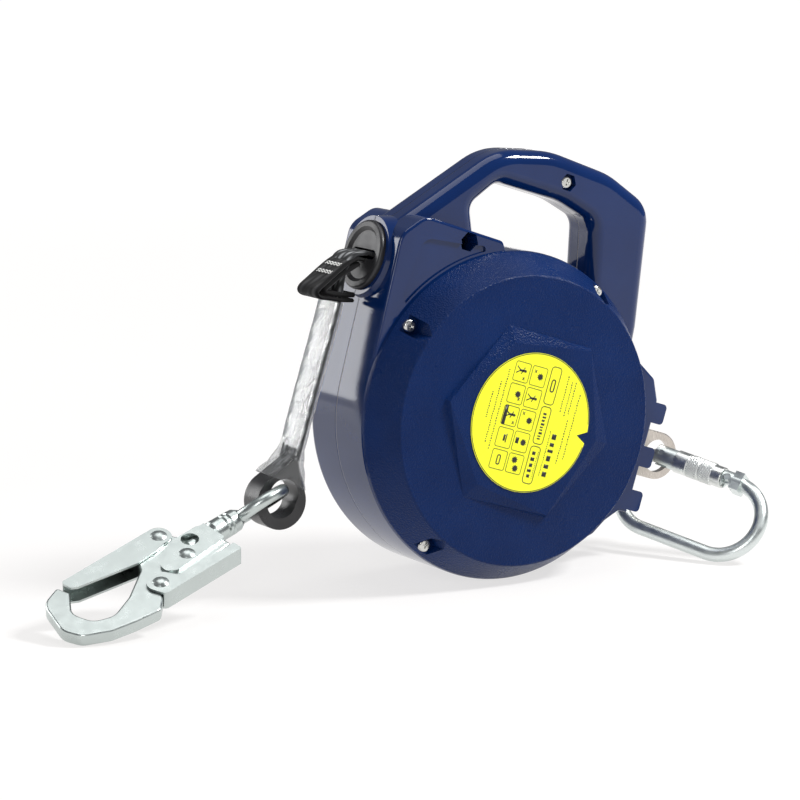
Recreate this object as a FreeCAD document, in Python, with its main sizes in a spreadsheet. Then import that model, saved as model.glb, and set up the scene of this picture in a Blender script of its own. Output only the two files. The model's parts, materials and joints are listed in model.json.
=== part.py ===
import FreeCAD, Part
import math
import os
import re
import Sketcher

# A self retracting lifeline: a spring-wound drum of webbing in a two-piece moulded housing,
# with an anchor strap and locking carabiner on one side and a swivel snap hook on the webbing.
#
# All sizes are millimetres.  X points to the anchor side, Y runs from the front cover to the back,
# Z is up.  The origin is on the floor, under the middle of the housing and carabiner.
# The housing stands on its round side, leaning by the angle "lean" about the drum axis.
#
# Two local frames are used.  The unit frame has its origin on the drum axis at the front rim:
# its X axis runs out through the anchor strap, its Y axis is the drum axis, its Z axis crosses both.
# The hook and the carabiner are drawn flat in frames of their own and then placed.

Vec = FreeCAD.Vector
doc = FreeCAD.newDocument("self_retracting_lifeline")

# ---------------------------------------------------------------- driving dimensions
SIZES = {
    # where the unit stands
    "origin_shift_x": -38.02, "origin_shift_y": -35.66, "axis_height": 112, "lean": 18,
    # housing
    "body_radius": 112, "rim_radius": 98, "crease_depth": 25, "parting_depth": 60,
    "rear_edge_depth": 92, "rear_face_depth": 100, "rear_pad_depth": 104, "rear_pad_radius": 86,
    "wall": 3.2, "grip_front": 42, "grip_rounding": 9, "nozzle_front": 26,
    "lug_front": 36, "lug_tip": 137.5, "lug_root": 128.5, "lug_width": 14.5, "lug_pitch": 31.5,
    "plateau_radius": 68, "plateau_inset_radius": 56, "plateau_rise": 5, "plateau_skirt": 1.6,
    "label_radius": 47, "label_thickness": 0.5,
    "screw_circle": 105, "screw_first_angle": 67.5, "screw_seat_depth": 20, "screw_well_flats": 13,
    "shell_screw_radius": 2, "shell_screw_head": 4.6,
    # webbing and its guide
    "webbing_width": 25, "webbing_thickness": 2.4, "coil_radius": 78,
    "guide_centre": 78.4, "guide_radius": 23.5, "guide_face": 122.5, "guide_body_radius": 20.5,
    # frame, shaft and drum
    "plate_thickness": 3, "front_plate_depth": 36, "rear_plate_depth": 81,
    "shaft_radius": 8, "shaft_start": 13, "shaft_end": 98.5, "bearing_radius": 16,
    "flange_radius": 88, "flange_thickness": 2.5, "hub_radius": 24,
    "anchor_bolt_radius": 5, "anchor_bolt_reach": 96.5, "anchor_bolt_gap": 26, "anchor_middle": 0.9,
    "anchor_thickness": 5, "eye_reach": 156.7, "eye_radius": 11.6, "eye_outer_radius": 16.8,
    # brake
    "ratchet_teeth": 16, "ratchet_tip_radius": 50, "ratchet_root_radius": 57, "ratchet_radius": 65,
    "brake_bolt_circle": 70.5, "pawl_pivot_radius": 34, "pawl_pin_radius": 3,
    # power spring
    "spring_case_radius": 52, "spring_case_depth": 84.3, "spring_band": 11, "spring_turns": 8,
    # carabiner
    "wire_radius": 5, "carabiner_length": 108, "carabiner_width": 55, "gate_hinge": -36,
    "gate_latch": 17.5, "gate_fork_radius": 7.3, "gate_fork_reach": 4.4, "locking_sleeve_radius": 8.2,
    # hook
    "hook_scale": 0.94, "hook_plate": 9, "cheek_gap": 9.8, "cheek": 1.6, "shank_block": 13.2,
    "eye_wire_radius": 4.1, "eye_ring_radius": 19.3, "swivel_offset": -9.4, "rivet_radius": 3,
    "thimble_radius": 18.4, "thimble_groove": 13, "thimble_hole": 10.8, "thimble_width": 18,
}

sheet = doc.addObject("Spreadsheet::Sheet", "Sizes")
for row, (alias, value) in enumerate(SIZES.items(), start=1):
    sheet.set("A%d" % row, alias)
    sheet.set("B%d" % row, str(value))
    sheet.setAlias("B%d" % row, alias)
doc.recompute()


def size(alias):
    """One driving dimension, read from the sheet."""
    return float(sheet.get(alias))


def bound(text):
    """An expression on the sheet's cells, from plain words such as "wall * 2"."""
    return re.sub(r"[a-z][a-z_]+\b(?!\()", lambda word: "Sizes." + word.group(), str(text))


def number(text):
    """The value of such an expression now."""
    return float(sheet.evalExpression(bound(text)))


# ---------------------------------------------------------------- placements
SHIFT = Vec(size("origin_shift_x"), size("origin_shift_y"), 0)
LEAN = FreeCAD.Rotation(Vec(0, 1, 0), size("lean"))
UNIT = FreeCAD.Placement(SHIFT + Vec(0, 0, size("axis_height")), LEAN)
STANDING = FreeCAD.Placement(SHIFT, FreeCAD.Rotation())

THIMBLE_CENTRE = Vec(-158.5, 60, 65)
HOOK_MIDDLE = Vec(-238.2, 33, 38.2)      # the hook's middle rivet
HOOK = FreeCAD.Placement(SHIFT + HOOK_MIDDLE, FreeCAD.Rotation(192.4, 17.5, -19.6))
EYE_ROLL = FreeCAD.Rotation(Vec(1, 0, 0), 50.8)
SWIVEL = HOOK.multiply(FreeCAD.Placement(Vec(0, size("swivel_offset"), 0), EYE_ROLL))
CARABINER_MIDDLE = Vec(151.4, 20.2, 34.6)
CARABINER = FreeCAD.Placement(SHIFT + CARABINER_MIDDLE, FreeCAD.Rotation(-64.95, 12.45, -125.1))

parts = []


def keep(item, label, placement):
    """Names a sub-part, puts it in its place and lists it for export."""
    item.Label = label
    item.Placement = placement
    parts.append(item)
    return item


# ---------------------------------------------------------------- sketch and body helpers
def sketch_on(body, role, offset="0"):
    """A sketch on one of the body's own origin planes, moved along the plane's normal."""
    plane = next(item for item in body.Origin.OriginFeatures if item.Role == role)
    sketch = body.newObject("Sketcher::SketchObject", body.Name + "_outline")
    sketch.AttachmentSupport = [(plane, "")]
    sketch.MapMode = "FlatFace"
    sketch.setExpression("AttachmentOffset.Base.z", bound(offset))
    return sketch


def pin_point(sketch, edge, end, x, y):
    """Holds one point of a sketch at a place given by two expressions."""
    for name, axis, text in (("DistanceX", -2, x), ("DistanceY", -1, y)):
        value = number(text)
        if abs(value) < 1e-9:
            sketch.addConstraint(Sketcher.Constraint("PointOnObject", edge, end, axis))
        else:
            index = sketch.addConstraint(Sketcher.Constraint(name, -1, 1, edge, end, value))
            sketch.setExpression("Constraints[%d]" % index, bound(text))


def polygon(sketch, corners):
    """A closed outline of straight edges, each corner held by its own expressions."""
    places = [Vec(number(x), number(y), 0) for x, y in corners]
    first = sketch.GeometryCount
    count = len(places)
    for index in range(count):
        sketch.addGeometry(Part.LineSegment(places[index], places[(index + 1) % count]))
    for index in range(count):
        following = first + (index + 1) % count
        sketch.addConstraint(Sketcher.Constraint("Coincident", first + index, 2, following, 1))
    for index, (x, y) in enumerate(corners):
        pin_point(sketch, first + index, 1, x, y)


def circle(sketch, x, y, radius):
    """A circle held by expressions for its centre and its radius."""
    centre = Vec(number(x), number(y), 0)
    edge = sketch.addGeometry(Part.Circle(centre, Vec(0, 0, 1), number(radius)))
    pin_point(sketch, edge, 3, x, y)
    index = sketch.addConstraint(Sketcher.Constraint("Radius", edge, number(radius)))
    sketch.setExpression("Constraints[%d]" % index, bound(radius))


def turned(label, profile, placement=UNIT):
    """A piece turned about the drum axis, from corners given as (radius, depth)."""
    body = doc.addObject("PartDesign::Body", label)
    sketch = sketch_on(body, "XY_Plane")
    polygon(sketch, profile)
    turn = body.newObject("PartDesign::Revolution", label + "_turn")
    turn.Profile = sketch
    turn.ReferenceAxis = (sketch, ["V_Axis"])
    turn.Angle = 360
    return keep(body, label, placement)


def ring(label, inner, outer, near, far):
    """A plain turned ring between two radii and two depths."""
    return turned(label, [(inner, near), (outer, near), (outer, far), (inner, far)])


def plate(label, corners, near, thickness, holes=(), placement=UNIT):
    """A flat plate across the drum axis, with its round holes."""
    body = doc.addObject("PartDesign::Body", label)
    sketch = sketch_on(body, "XZ_Plane", "-(%s)" % near)
    polygon(sketch, corners)
    for x, y, radius in holes:
        circle(sketch, x, y, radius)
    pad = body.newObject("PartDesign::Pad", label + "_pad")
    pad.Profile = sketch
    pad.setExpression("Length", bound(thickness))
    pad.Reversed = True
    return keep(body, label, placement)


def solid(label, shape, placement):
    """A free-form piece whose shape is worked out here from the sheet."""
    item = doc.addObject("Part::Feature", label)
    merged = shape.removeSplitter()
    item.Shape = merged if merged.isValid() else shape
    return keep(item, label, placement)


def group(label, shapes, placement):
    """Identical or matching pieces kept as separate solids of one sub-part."""
    item = doc.addObject("Part::Feature", label)
    item.Shape = Part.makeCompound(shapes)
    return keep(item, label, placement)


# ---------------------------------------------------------------- shape helpers
def rounded(points):
    """A closed wire in the XY plane through (x, y, corner radius) points."""
    places = [Vec(x, y, 0) for x, y, _ in points]
    count = len(points)
    starts, ends, arcs = [], [], []
    for index, (_, _, radius) in enumerate(points):
        here = places[index]
        back = (places[index - 1] - here).normalize()
        ahead = (places[(index + 1) % count] - here).normalize()
        half = back.getAngle(ahead) / 2
        if radius <= 0 or half > math.pi / 2 - 1e-4:
            starts.append(here)
            ends.append(here)
            arcs.append(None)
            continue
        reach = radius / math.tan(half)
        inward = (back + ahead).normalize()
        start = here + back * reach
        end = here + ahead * reach
        middle = here + inward * (radius / math.sin(half) - radius)
        starts.append(start)
        ends.append(end)
        arcs.append(Part.Arc(start, middle, end).toShape())
    edges = []
    for index in range(count):
        if arcs[index]:
            edges.append(arcs[index])
        following = starts[(index + 1) % count]
        if ends[index].distanceToPoint(following) > 1e-6:
            edges.append(Part.LineSegment(ends[index], following).toShape())
    return Part.Wire(edges)


def slab(points, low, high):
    """A rounded outline in XY, as thick as from low to high along Z."""
    face = Part.Face(rounded(points))
    face.translate(Vec(0, 0, low))
    return face.extrude(Vec(0, 0, high - low))


def block(points, near, far):
    """A rounded outline across the drum axis, from one depth to another."""
    wire = rounded(points)
    wire.rotate(Vec(), Vec(1, 0, 0), 90)
    face = Part.Face(wire)
    face.translate(Vec(0, near, 0))
    return face.extrude(Vec(0, far - near, 0))


def rod(radius, start, end):
    """A round bar between two points."""
    return Part.makeCylinder(radius, (end - start).Length, start, end - start)


def depth_rod(radius, x, z, near, far):
    """A round bar along the drum axis."""
    return rod(radius, Vec(x, near, z), Vec(x, far, z))


def spun(profile):
    """A solid of revolution about the drum axis from (radius, depth) corners."""
    corners = [Vec(radius, depth, 0) for radius, depth in profile]
    return Part.Face(Part.makePolygon(corners + corners[:1])).revolve(Vec(), Vec(0, 1, 0), 360)


def hexagon_well(x, z, flats, near, far, turn=0):
    """A hexagonal pocket along the drum axis."""
    reach = flats / math.sqrt(3)
    corners = []
    for step in range(6):
        across, up = polar(reach, turn + 60 * step)
        corners.append((x + across, z + up, 0))
    return block(corners, near, far)


def polar(radius, degrees):
    """A point across the drum axis, as (x, z)."""
    angle = math.radians(degrees)
    return radius * math.cos(angle), radius * math.sin(angle)


def joined(first, *others):
    """One solid from several."""
    return first.fuse(list(others))


def rounded_front(shape, depth, radius):
    """Rounds every edge of a block that lies wholly at one depth."""
    edges = [edge for edge in shape.Edges
             if all(abs(vertex.Y - depth) < 1e-6 for vertex in edge.Vertexes)]
    return shape.makeFillet(radius, edges)


# ---------------------------------------------------------------- housing
SCREW_PLACES = [polar(size("screw_circle"), size("screw_first_angle") + 90 * turn) for turn in range(4)]
GRIP_SCREW = (11, 164)
LEG_SCREW = (-64, 105)

GRIP_OUTLINE = [(-100, 40, 0), (-116.5, 60, 0), (-117.5, 97, 16), (-48, 171, 50), (-6, 181, 70),
                (46, 178.5, 60), (85, 166, 22), (101, 84, 40), (106, 30, 0), (60, 20, 0), (-60, 20, 0)]
HAND_HOLE = [(-47, 107, 3), (-58, 130, 9), (-42, 150, 12), (12, 150.5, 60), (40, 144, 12), (52, 98, 3),
             (0, 90, 0)]
NOZZLE_OUTLINE = [(-111.9, -4, 0), (-117, 97, 15), (-102, 113, 12), (-38, 112, 4), (0, 60, 0), (-50, -4, 0)]
NOZZLE_PANEL = [(-103, 58, 3), (-99, 99, 9), (-62, 103, 3), (-50, 106, 3), (-50, 60, 0), (-80, 30, 0)]
LUG_OUTLINE = [(96, -70, 0), (105, -63, 6), (112, -52, 6), (121, -43, 3), (128.5, -42.5, 1),
               (128.5, 38, 1), (121, 52, 4), (98, 64, 0), (60, 40, 0), (60, -40, 0)]
LUG_MIDDLE = -2


def dome(radius_loss, near_gain):
    """The round part of the housing up to the rear edge, or its hollow when given a wall."""
    rim = size("rim_radius") - radius_loss
    wide = size("body_radius") - radius_loss
    return spun([(0, near_gain), (rim, near_gain), (wide, size("crease_depth")),
                 (wide, size("parting_depth")), (0, size("parting_depth"))])


def front_dome():
    """The front half of the round body, with its rim and crease rounded."""
    shape = dome(0, 0)
    ring_edges = [edge for edge in shape.Edges
                  if len(edge.Vertexes) == 1 and abs(edge.Vertexes[0].Y - size("crease_depth")) < 1e-6]
    shape = shape.makeFillet(6, ring_edges)
    rim_edges = [edge for edge in shape.Edges
                 if len(edge.Vertexes) == 1 and abs(edge.Vertexes[0].Y) < 1e-6]
    return shape.makeFillet(1.6, rim_edges)


def rear_dome():
    """The rear half of the round body: a rounded edge and a slightly raised flat pad."""
    wide = size("body_radius")
    rear = size("rear_face_depth")
    shape = spun([(0, size("parting_depth")), (wide, size("parting_depth")), (wide, size("rear_edge_depth")),
                  (wide - 8, rear), (size("rear_pad_radius") + 4, rear),
                  (size("rear_pad_radius"), size("rear_pad_depth")), (0, size("rear_pad_depth"))])
    edges = [edge for edge in shape.Edges if len(edge.Vertexes) == 1
             and edge.Vertexes[0].X > wide - 9 and edge.Vertexes[0].Y > size("parting_depth") + 1]
    return shape.makeFillet(5, edges)


def plateau():
    """The six-sided raised face: three corners reach the skirt, three are drawn in, so its
    sloping sides are triangles that chase each other round."""
    skirt_depth = -size("plateau_skirt")
    top_depth = -size("plateau_rise")
    rim = size("rim_radius") - 2
    outer, inner = [], []
    for step in range(6):
        x, z = polar(size("plateau_radius"), 60 * step)
        outer.append(Vec(x, skirt_depth, z))
        reach = size("plateau_radius") - 2 if step % 2 else size("plateau_inset_radius")
        x, z = polar(reach, 60 * step)
        inner.append(Vec(x, top_depth, z))
    faces = [Part.Face(Part.makePolygon(inner + inner[:1]))]
    base_edges = []
    for step in range(6):
        after = (step + 1) % 6
        first, second = polar(rim, 60 * step), polar(rim, 60 * step + 60)
        middle = polar(rim, 60 * step + 30)
        arc = Part.Arc(Vec(first[0], 0, first[1]), Vec(middle[0], 0, middle[1]),
                       Vec(second[0], 0, second[1])).toShape()
        base_edges.append(arc)
        edge = Part.LineSegment(outer[step], outer[after]).toShape()
        faces.append(Part.makeRuledSurface(arc, edge))
        quad = (outer[step], outer[after], inner[after], inner[step])
        split = ((0, 1, 3), (1, 2, 3)) if step % 2 else ((0, 1, 2), (0, 2, 3))
        for triangle in split:
            corners = [quad[index] for index in triangle]
            faces.append(Part.Face(Part.makePolygon(corners + corners[:1])))
    faces.append(Part.Face(Part.Wire(base_edges)))
    shell = Part.makeShell(faces)
    shell.sewShape()
    body = Part.Solid(shell)
    if body.Volume < 0:
        body.reverse()
    return body


def lugs(near, far):
    """Three guard lugs over the anchor strap."""
    low, high = size("lug_root") - 10, size("lug_tip")
    half = size("lug_width") / 2
    shapes = []
    for step in (-1, 0, 1):
        middle = LUG_MIDDLE + step * size("lug_pitch")
        shapes.append(block([(low, middle - half, 0), (high, middle - half, 3), (high, middle + half, 3),
                             (low, middle + half, 0)], near, far))
    return shapes


def grip_half(near, far, front):
    """Half of the carrying grip, its outer edges rounded."""
    shape = block(GRIP_OUTLINE, near, far).cut(block(HAND_HOLE, near - 1, far + 1))
    return rounded_front(shape, front, size("grip_rounding"))


def grip_hollow(near, far):
    """The space inside half of the grip, the same wall inside its outline all round."""
    wire = rounded(GRIP_OUTLINE)
    wire.rotate(Vec(), Vec(1, 0, 0), 90)
    hole = rounded(HAND_HOLE)
    hole.rotate(Vec(), Vec(1, 0, 0), 90)
    inner = Part.Face(wire.makeOffset2D(-size("wall") - 1))
    outer_hole = Part.Face(hole.makeOffset2D(size("wall") + 1))
    face = inner.cut(outer_hole)
    face.translate(Vec(0, near, 0))
    return face.extrude(Vec(0, far - near, 0))


def nozzle_collar(near, far):
    """The raised round collar in which the webbing guide sits, clipped to one side of the parting."""
    middle = size("guide_centre")
    collar = Part.makeCone(30, 27, 11, Vec(-108, size("parting_depth"), middle), Vec(-1, 0, 0))
    return collar.common(Part.makeBox(60, far - near, 80, Vec(-140, near, middle - 40)))


def nozzle_bore():
    """The bore and face recess that take the webbing guide, and the webbing's way to the drum."""
    depth, middle = size("parting_depth"), size("guide_centre")
    bore = rod(size("guide_body_radius") + 0.3, Vec(-104, depth, middle), Vec(-130, depth, middle))
    face = rod(size("guide_radius") + 0.4, Vec(-117.5, depth, middle), Vec(-130, depth, middle))
    way_width = size("webbing_width") + 5
    way = Part.makeBox(80, way_width, 13, Vec(-110, depth - way_width / 2, middle - 5.9))
    return joined(bore, face, way)


def nozzle_hollow(near, far):
    """The hollow of the nozzle block behind its front or rear wall."""
    return block([(-109, 20, 0), (-113, 56, 0), (-113, 58, 0), (-100, 58, 0), (-90, 104, 4), (-60, 107, 3),
                  (-40, 60, 0), (-60, 20, 0)], near, far)


def anchor_way():
    """The slot through which the anchor strap leaves the housing."""
    middle, half = size("anchor_middle"), size("eye_outer_radius") + 2
    thick = size("anchor_thickness") + 1.6
    return Part.makeBox(80, thick, 2 * half, Vec(86, size("parting_depth") - thick / 2, middle - half))


def bosses(places, radius, near, far):
    """Screw bosses, kept a little inside the outer skin."""
    inset = 1.2
    wide = size("body_radius") - inset
    limit = spun([(0, inset), (size("rim_radius") - inset, inset), (wide, size("crease_depth") + inset / 2),
                  (wide, size("rear_edge_depth") - 1), (wide - 8, size("rear_face_depth") - inset),
                  (0, size("rear_face_depth") - inset)])
    grip_middle = [(-80, 60, 0), (-80, 130, 0), (-48, 168, 0), (40, 176, 0), (60, 100, 0)]
    grip_near = size("grip_front") + inset
    limit = limit.fuse(block(grip_middle, grip_near, 2 * size("parting_depth") - grip_near))
    return [depth_rod(radius, x, z, near, far).common(limit) for x, z in places]


def lug_hollow(near, far):
    """The room behind the lugs, round the anchor strap."""
    return block([(90, -50, 0), (108, -46, 4), (121, -36, 4), (121, 32, 4), (100, 52, 0)], near, far)


def front_shell():
    """The front cover."""
    parting, wall = size("parting_depth"), size("wall")
    nozzle_front = size("nozzle_front")
    skin = joined(front_dome(), plateau(),
                  rounded_front(block(NOZZLE_OUTLINE, nozzle_front, parting), nozzle_front, 2),
                  grip_half(size("grip_front"), parting, size("grip_front")),
                  rounded_front(block(LUG_OUTLINE, size("lug_front"), parting), size("lug_front"), 2),
                  nozzle_collar(0, parting), *lugs(size("lug_front"), size("lug_front") + 15))
    shape = skin.cut(dome(wall, wall))
    shape = shape.cut([lug_hollow(size("lug_front") + 4, parting),
                       nozzle_hollow(size("nozzle_front") + 5.5, parting),
                       grip_hollow(size("grip_front") + wall, parting)])
    posts = bosses(SCREW_PLACES, 8.4, 8, parting) + bosses([LEG_SCREW, GRIP_SCREW], 8, 44, parting)
    shape = joined(shape, *posts)
    shape = shape.cut(block(NOZZLE_PANEL, 20, size("nozzle_front") + 1.6).cut(dome(-1.5, -20)))
    cuts = [nozzle_bore(), anchor_way()]
    for index, (x, z) in enumerate(SCREW_PLACES):
        turn = size("screw_first_angle") + 90 * index
        cuts.append(hexagon_well(x, z, size("screw_well_flats"), -9, size("screw_seat_depth"), turn))
        cuts.append(depth_rod(size("shell_screw_radius") + 0.3, x, z, 0, parting + 1))
    cuts.append(hexagon_well(*LEG_SCREW, 12, 10, 50))
    cuts.append(depth_rod(size("shell_screw_radius") + 0.3, *LEG_SCREW, 10, parting + 1))
    cuts.append(hexagon_well(*GRIP_SCREW, 11, 30, size("grip_front") + 5))
    cuts.append(depth_rod(size("shell_screw_radius") + 0.3, *GRIP_SCREW, 30, parting + 1))
    return solid("front_shell", shape.cut(cuts), UNIT)


def rear_shell():
    """The rear cover."""
    parting, wall = size("parting_depth"), size("wall")
    nozzle_back = 2 * parting - size("nozzle_front")
    grip_back = 2 * parting - size("grip_front")
    lug_back = 2 * parting - size("lug_front")
    skin = joined(rear_dome(),
                  rounded_front(block(NOZZLE_OUTLINE, parting, nozzle_back), nozzle_back, 2),
                  grip_half(parting, grip_back, grip_back),
                  rounded_front(block(LUG_OUTLINE, parting, lug_back), lug_back, 2),
                  nozzle_collar(parting, 2 * parting))
    inner = spun([(0, parting), (size("body_radius") - wall, parting),
                  (size("body_radius") - wall, size("rear_edge_depth") - 2),
                  (size("body_radius") - 8 - wall, size("rear_face_depth") - wall),
                  (size("rear_pad_radius") - wall, size("rear_face_depth") - wall),
                  (size("rear_pad_radius") - wall - 1, size("rear_pad_depth") - wall),
                  (0, size("rear_pad_depth") - wall)])
    shape = skin.cut([inner, lug_hollow(parting, lug_back - 4),
                      nozzle_hollow(parting, nozzle_back - 5.5),
                      grip_hollow(parting, grip_back - wall)])
    posts = bosses(SCREW_PLACES, 7, parting, 95) + bosses([LEG_SCREW, GRIP_SCREW], 7, parting, 76)
    posts += bosses(FRAME_SCREW_PLACES, 6, 84.2, 98.5)
    shape = joined(shape, *posts)
    cuts = [nozzle_bore(), anchor_way()]
    pilot = size("shell_screw_radius") + 0.02
    cuts += [depth_rod(pilot, x, z, parting - 1, 80) for x, z in SCREW_PLACES]
    cuts += [depth_rod(pilot, x, z, parting - 1, 72) for x, z in (LEG_SCREW, GRIP_SCREW)]
    cuts += [depth_rod(pilot, x, z, 84, 97) for x, z in FRAME_SCREW_PLACES]
    return solid("rear_shell", shape.cut(cuts), UNIT)


def pan_screw(x, z, seat, reach, head=None):
    """A pan-head screw along the drum axis, with a cross recess in its head."""
    radius = head or size("shell_screw_head")
    cap = depth_rod(radius, x, z, seat - 3, seat)
    cap = cap.makeFillet(1.6, [edge for edge in cap.Edges if abs(edge.BoundBox.YMax - (seat - 3)) < 1e-6])
    shank = depth_rod(size("shell_screw_radius"), x, z, seat, reach)
    recess = [Part.makeBox(4.6, 1.6, 1.1, Vec(x - 2.3, seat - 3.1, z - 0.55)),
              Part.makeBox(1.1, 1.6, 4.6, Vec(x - 0.55, seat - 3.1, z - 2.3))]
    return joined(cap, shank).cut(recess)


def housing_screws():
    """Four case screws, one at the foot of the grip and one in the grip."""
    shapes = [pan_screw(x, z, size("screw_seat_depth"), 76) for x, z in SCREW_PLACES]
    shapes.append(pan_screw(*LEG_SCREW, 50, 70))
    shapes.append(pan_screw(*GRIP_SCREW, size("grip_front") + 5, 70))
    return group("housing_screws", shapes, UNIT)


def label_disc():
    """The round rating plate, with a keying notch towards the anchor."""
    body = doc.addObject("PartDesign::Body", "label_disc")
    sketch = sketch_on(body, "XZ_Plane", "plateau_rise")
    circle(sketch, "0", "0", "label_radius")
    pad = body.newObject("PartDesign::Pad", "label_pad")
    pad.Profile = sketch
    pad.setExpression("Length", bound("label_thickness"))
    doc.recompute()
    notch_sketch = sketch_on(body, "XZ_Plane", "plateau_rise")
    polygon(notch_sketch, [("label_radius - 8", "0"), ("label_radius + 4", "-6"), ("label_radius + 4", "6")])
    notch = body.newObject("PartDesign::Pocket", "label_notch")
    notch.Profile = notch_sketch
    notch.Type = "ThroughAll"
    notch.Midplane = True
    body.Tip = notch
    return keep(body, "label_disc", UNIT)


def webbing_guide():
    """The black guide in the nozzle: a flanged plug with a slot for the webbing."""
    depth, middle, face = size("parting_depth"), size("guide_centre"), -size("guide_face")
    flange = rod(size("guide_radius"), Vec(-117.6, depth, middle), Vec(face, depth, middle))
    rim = [edge for edge in flange.Edges if abs(edge.BoundBox.XMin - face) < 1e-6]
    flange = flange.makeFillet(1.8, rim)
    plug = rod(size("guide_body_radius"), Vec(-108, depth, middle), Vec(-118, depth, middle))
    dish = Part.makeCone(19, 16.5, 2, Vec(face - 0.01, depth, middle), Vec(1, 0, 0))
    long = size("webbing_width") + 3
    slot = Part.makeBox(30, long, 6.4, Vec(-130, depth - long / 2, size("guide_centre") - 2.3))
    slot = slot.makeFillet(2.5, [edge for edge in slot.Edges if edge.BoundBox.XLength > 29])
    return solid("webbing_guide", joined(flange, plug).cut([dish, slot]), UNIT)


# ---------------------------------------------------------------- frame
FRAME_SCREW_PLACES = [(80, 30), (-56, -58), (28, 83)]
TIE_PLACES = [polar(95, 45), polar(95, 225)]
FRAME_OUTLINE = [("104", "-24"), ("104", "22"), ("70", "80"), ("26", "89"), ("-48", "48"), ("-82", "-58"),
                 ("-60", "-82"), ("10", "-74")]
ANCHOR_BOLTS = [(size("anchor_bolt_reach"), size("anchor_middle") + side * size("anchor_bolt_gap") / 2)
                for side in (-1, 1)]
BRAKE_BOLTS = [polar(size("brake_bolt_circle"), angle) for angle in (90, 210, 330)]


def frame_plate(label, near):
    """One of the two steel side plates that carry the shaft, the anchor strap and the brake."""
    low = "anchor_middle - anchor_bolt_gap / 2"
    high = "anchor_middle + anchor_bolt_gap / 2"
    holes = [("0", "0", "bearing_radius"), ("anchor_bolt_reach", low, "anchor_bolt_radius + 0.05"),
             ("anchor_bolt_reach", high, "anchor_bolt_radius + 0.05")]
    holes += [(str(x), str(z), "3.05") for x, z in TIE_PLACES + FRAME_SCREW_PLACES]
    holes += [(str(x), str(z), "3.05") for x, z in BRAKE_BOLTS]
    return plate(label, FRAME_OUTLINE, near, "plate_thickness", holes)


def anchor_strap():
    """The stainless strap whose eye takes the carabiner."""
    reach, middle = size("eye_reach"), size("anchor_middle")
    outer = size("eye_outer_radius")
    half = size("anchor_thickness") / 2
    near, far = size("parting_depth") - half, size("parting_depth") + half
    outline = [(90.5, middle - 20, 4), (104, middle - 20, 4), (112, middle - outer, 6),
               (reach + outer, middle - outer, outer - 0.01), (reach + outer, middle + outer, outer - 0.01),
               (112, middle + outer, 6), (104, middle + 20, 4), (90.5, middle + 20, 4)]
    shape = block(outline, near, far)
    edges = [edge for edge in shape.Edges if edge.BoundBox.YLength < 1e-6 and edge.BoundBox.XMax > 112.5]
    shape = shape.makeFillet(0.8, edges)
    cuts = [depth_rod(size("eye_radius"), reach, middle, near - 1, far + 1)]
    cuts += [depth_rod(size("anchor_bolt_radius") + 0.05, x, z, near - 1, far + 1) for x, z in ANCHOR_BOLTS]
    return solid("anchor_strap", shape.cut(cuts), UNIT)


def tube(outer, inner, x, z, near, far):
    """A spacer tube along the drum axis."""
    return depth_rod(outer, x, z, near, far).cut(depth_rod(inner, x, z, near - 1, far + 1))


def frame_spacers():
    """The tubes that hold the side plates apart, beside the strap and at the tie bolts."""
    half = size("anchor_thickness") / 2
    near = size("front_plate_depth") + size("plate_thickness")
    far, middle = size("rear_plate_depth"), size("parting_depth")
    shapes = []
    for x, z in ANCHOR_BOLTS:
        shapes.append(tube(7.5, size("anchor_bolt_radius") + 0.05, x, z, near, middle - half))
        shapes.append(tube(7.5, size("anchor_bolt_radius") + 0.05, x, z, middle + half, far))
    shapes += [tube(5.5, 3.05, x, z, near, far) for x, z in TIE_PLACES]
    return group("frame_spacers", shapes, UNIT)


def bolt(radius, flats, x, z, near, far):
    """A hexagon bolt with its nut, clamped between two depths."""
    head = hexagon_well(x, z, flats, near - 0.6 * radius * 2, near)
    nut = hexagon_well(x, z, flats, far, far + 0.7 * radius * 2)
    return joined(head, depth_rod(radius, x, z, near, far), nut)


def frame_bolts():
    """The two anchor bolts and the two tie bolts."""
    near = size("front_plate_depth")
    far = size("rear_plate_depth") + size("plate_thickness")
    shapes = [bolt(size("anchor_bolt_radius"), 15, x, z, near, far) for x, z in ANCHOR_BOLTS]
    shapes += [bolt(3, 10, x, z, near, far) for x, z in TIE_PLACES]
    return group("frame_bolts", shapes, UNIT)


def frame_screws():
    """The screws that hold the frame to bosses in the rear cover."""
    seat = size("rear_plate_depth")
    return group("frame_screws", [pan_screw(x, z, seat, 96) for x, z in FRAME_SCREW_PLACES], UNIT)


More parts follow.
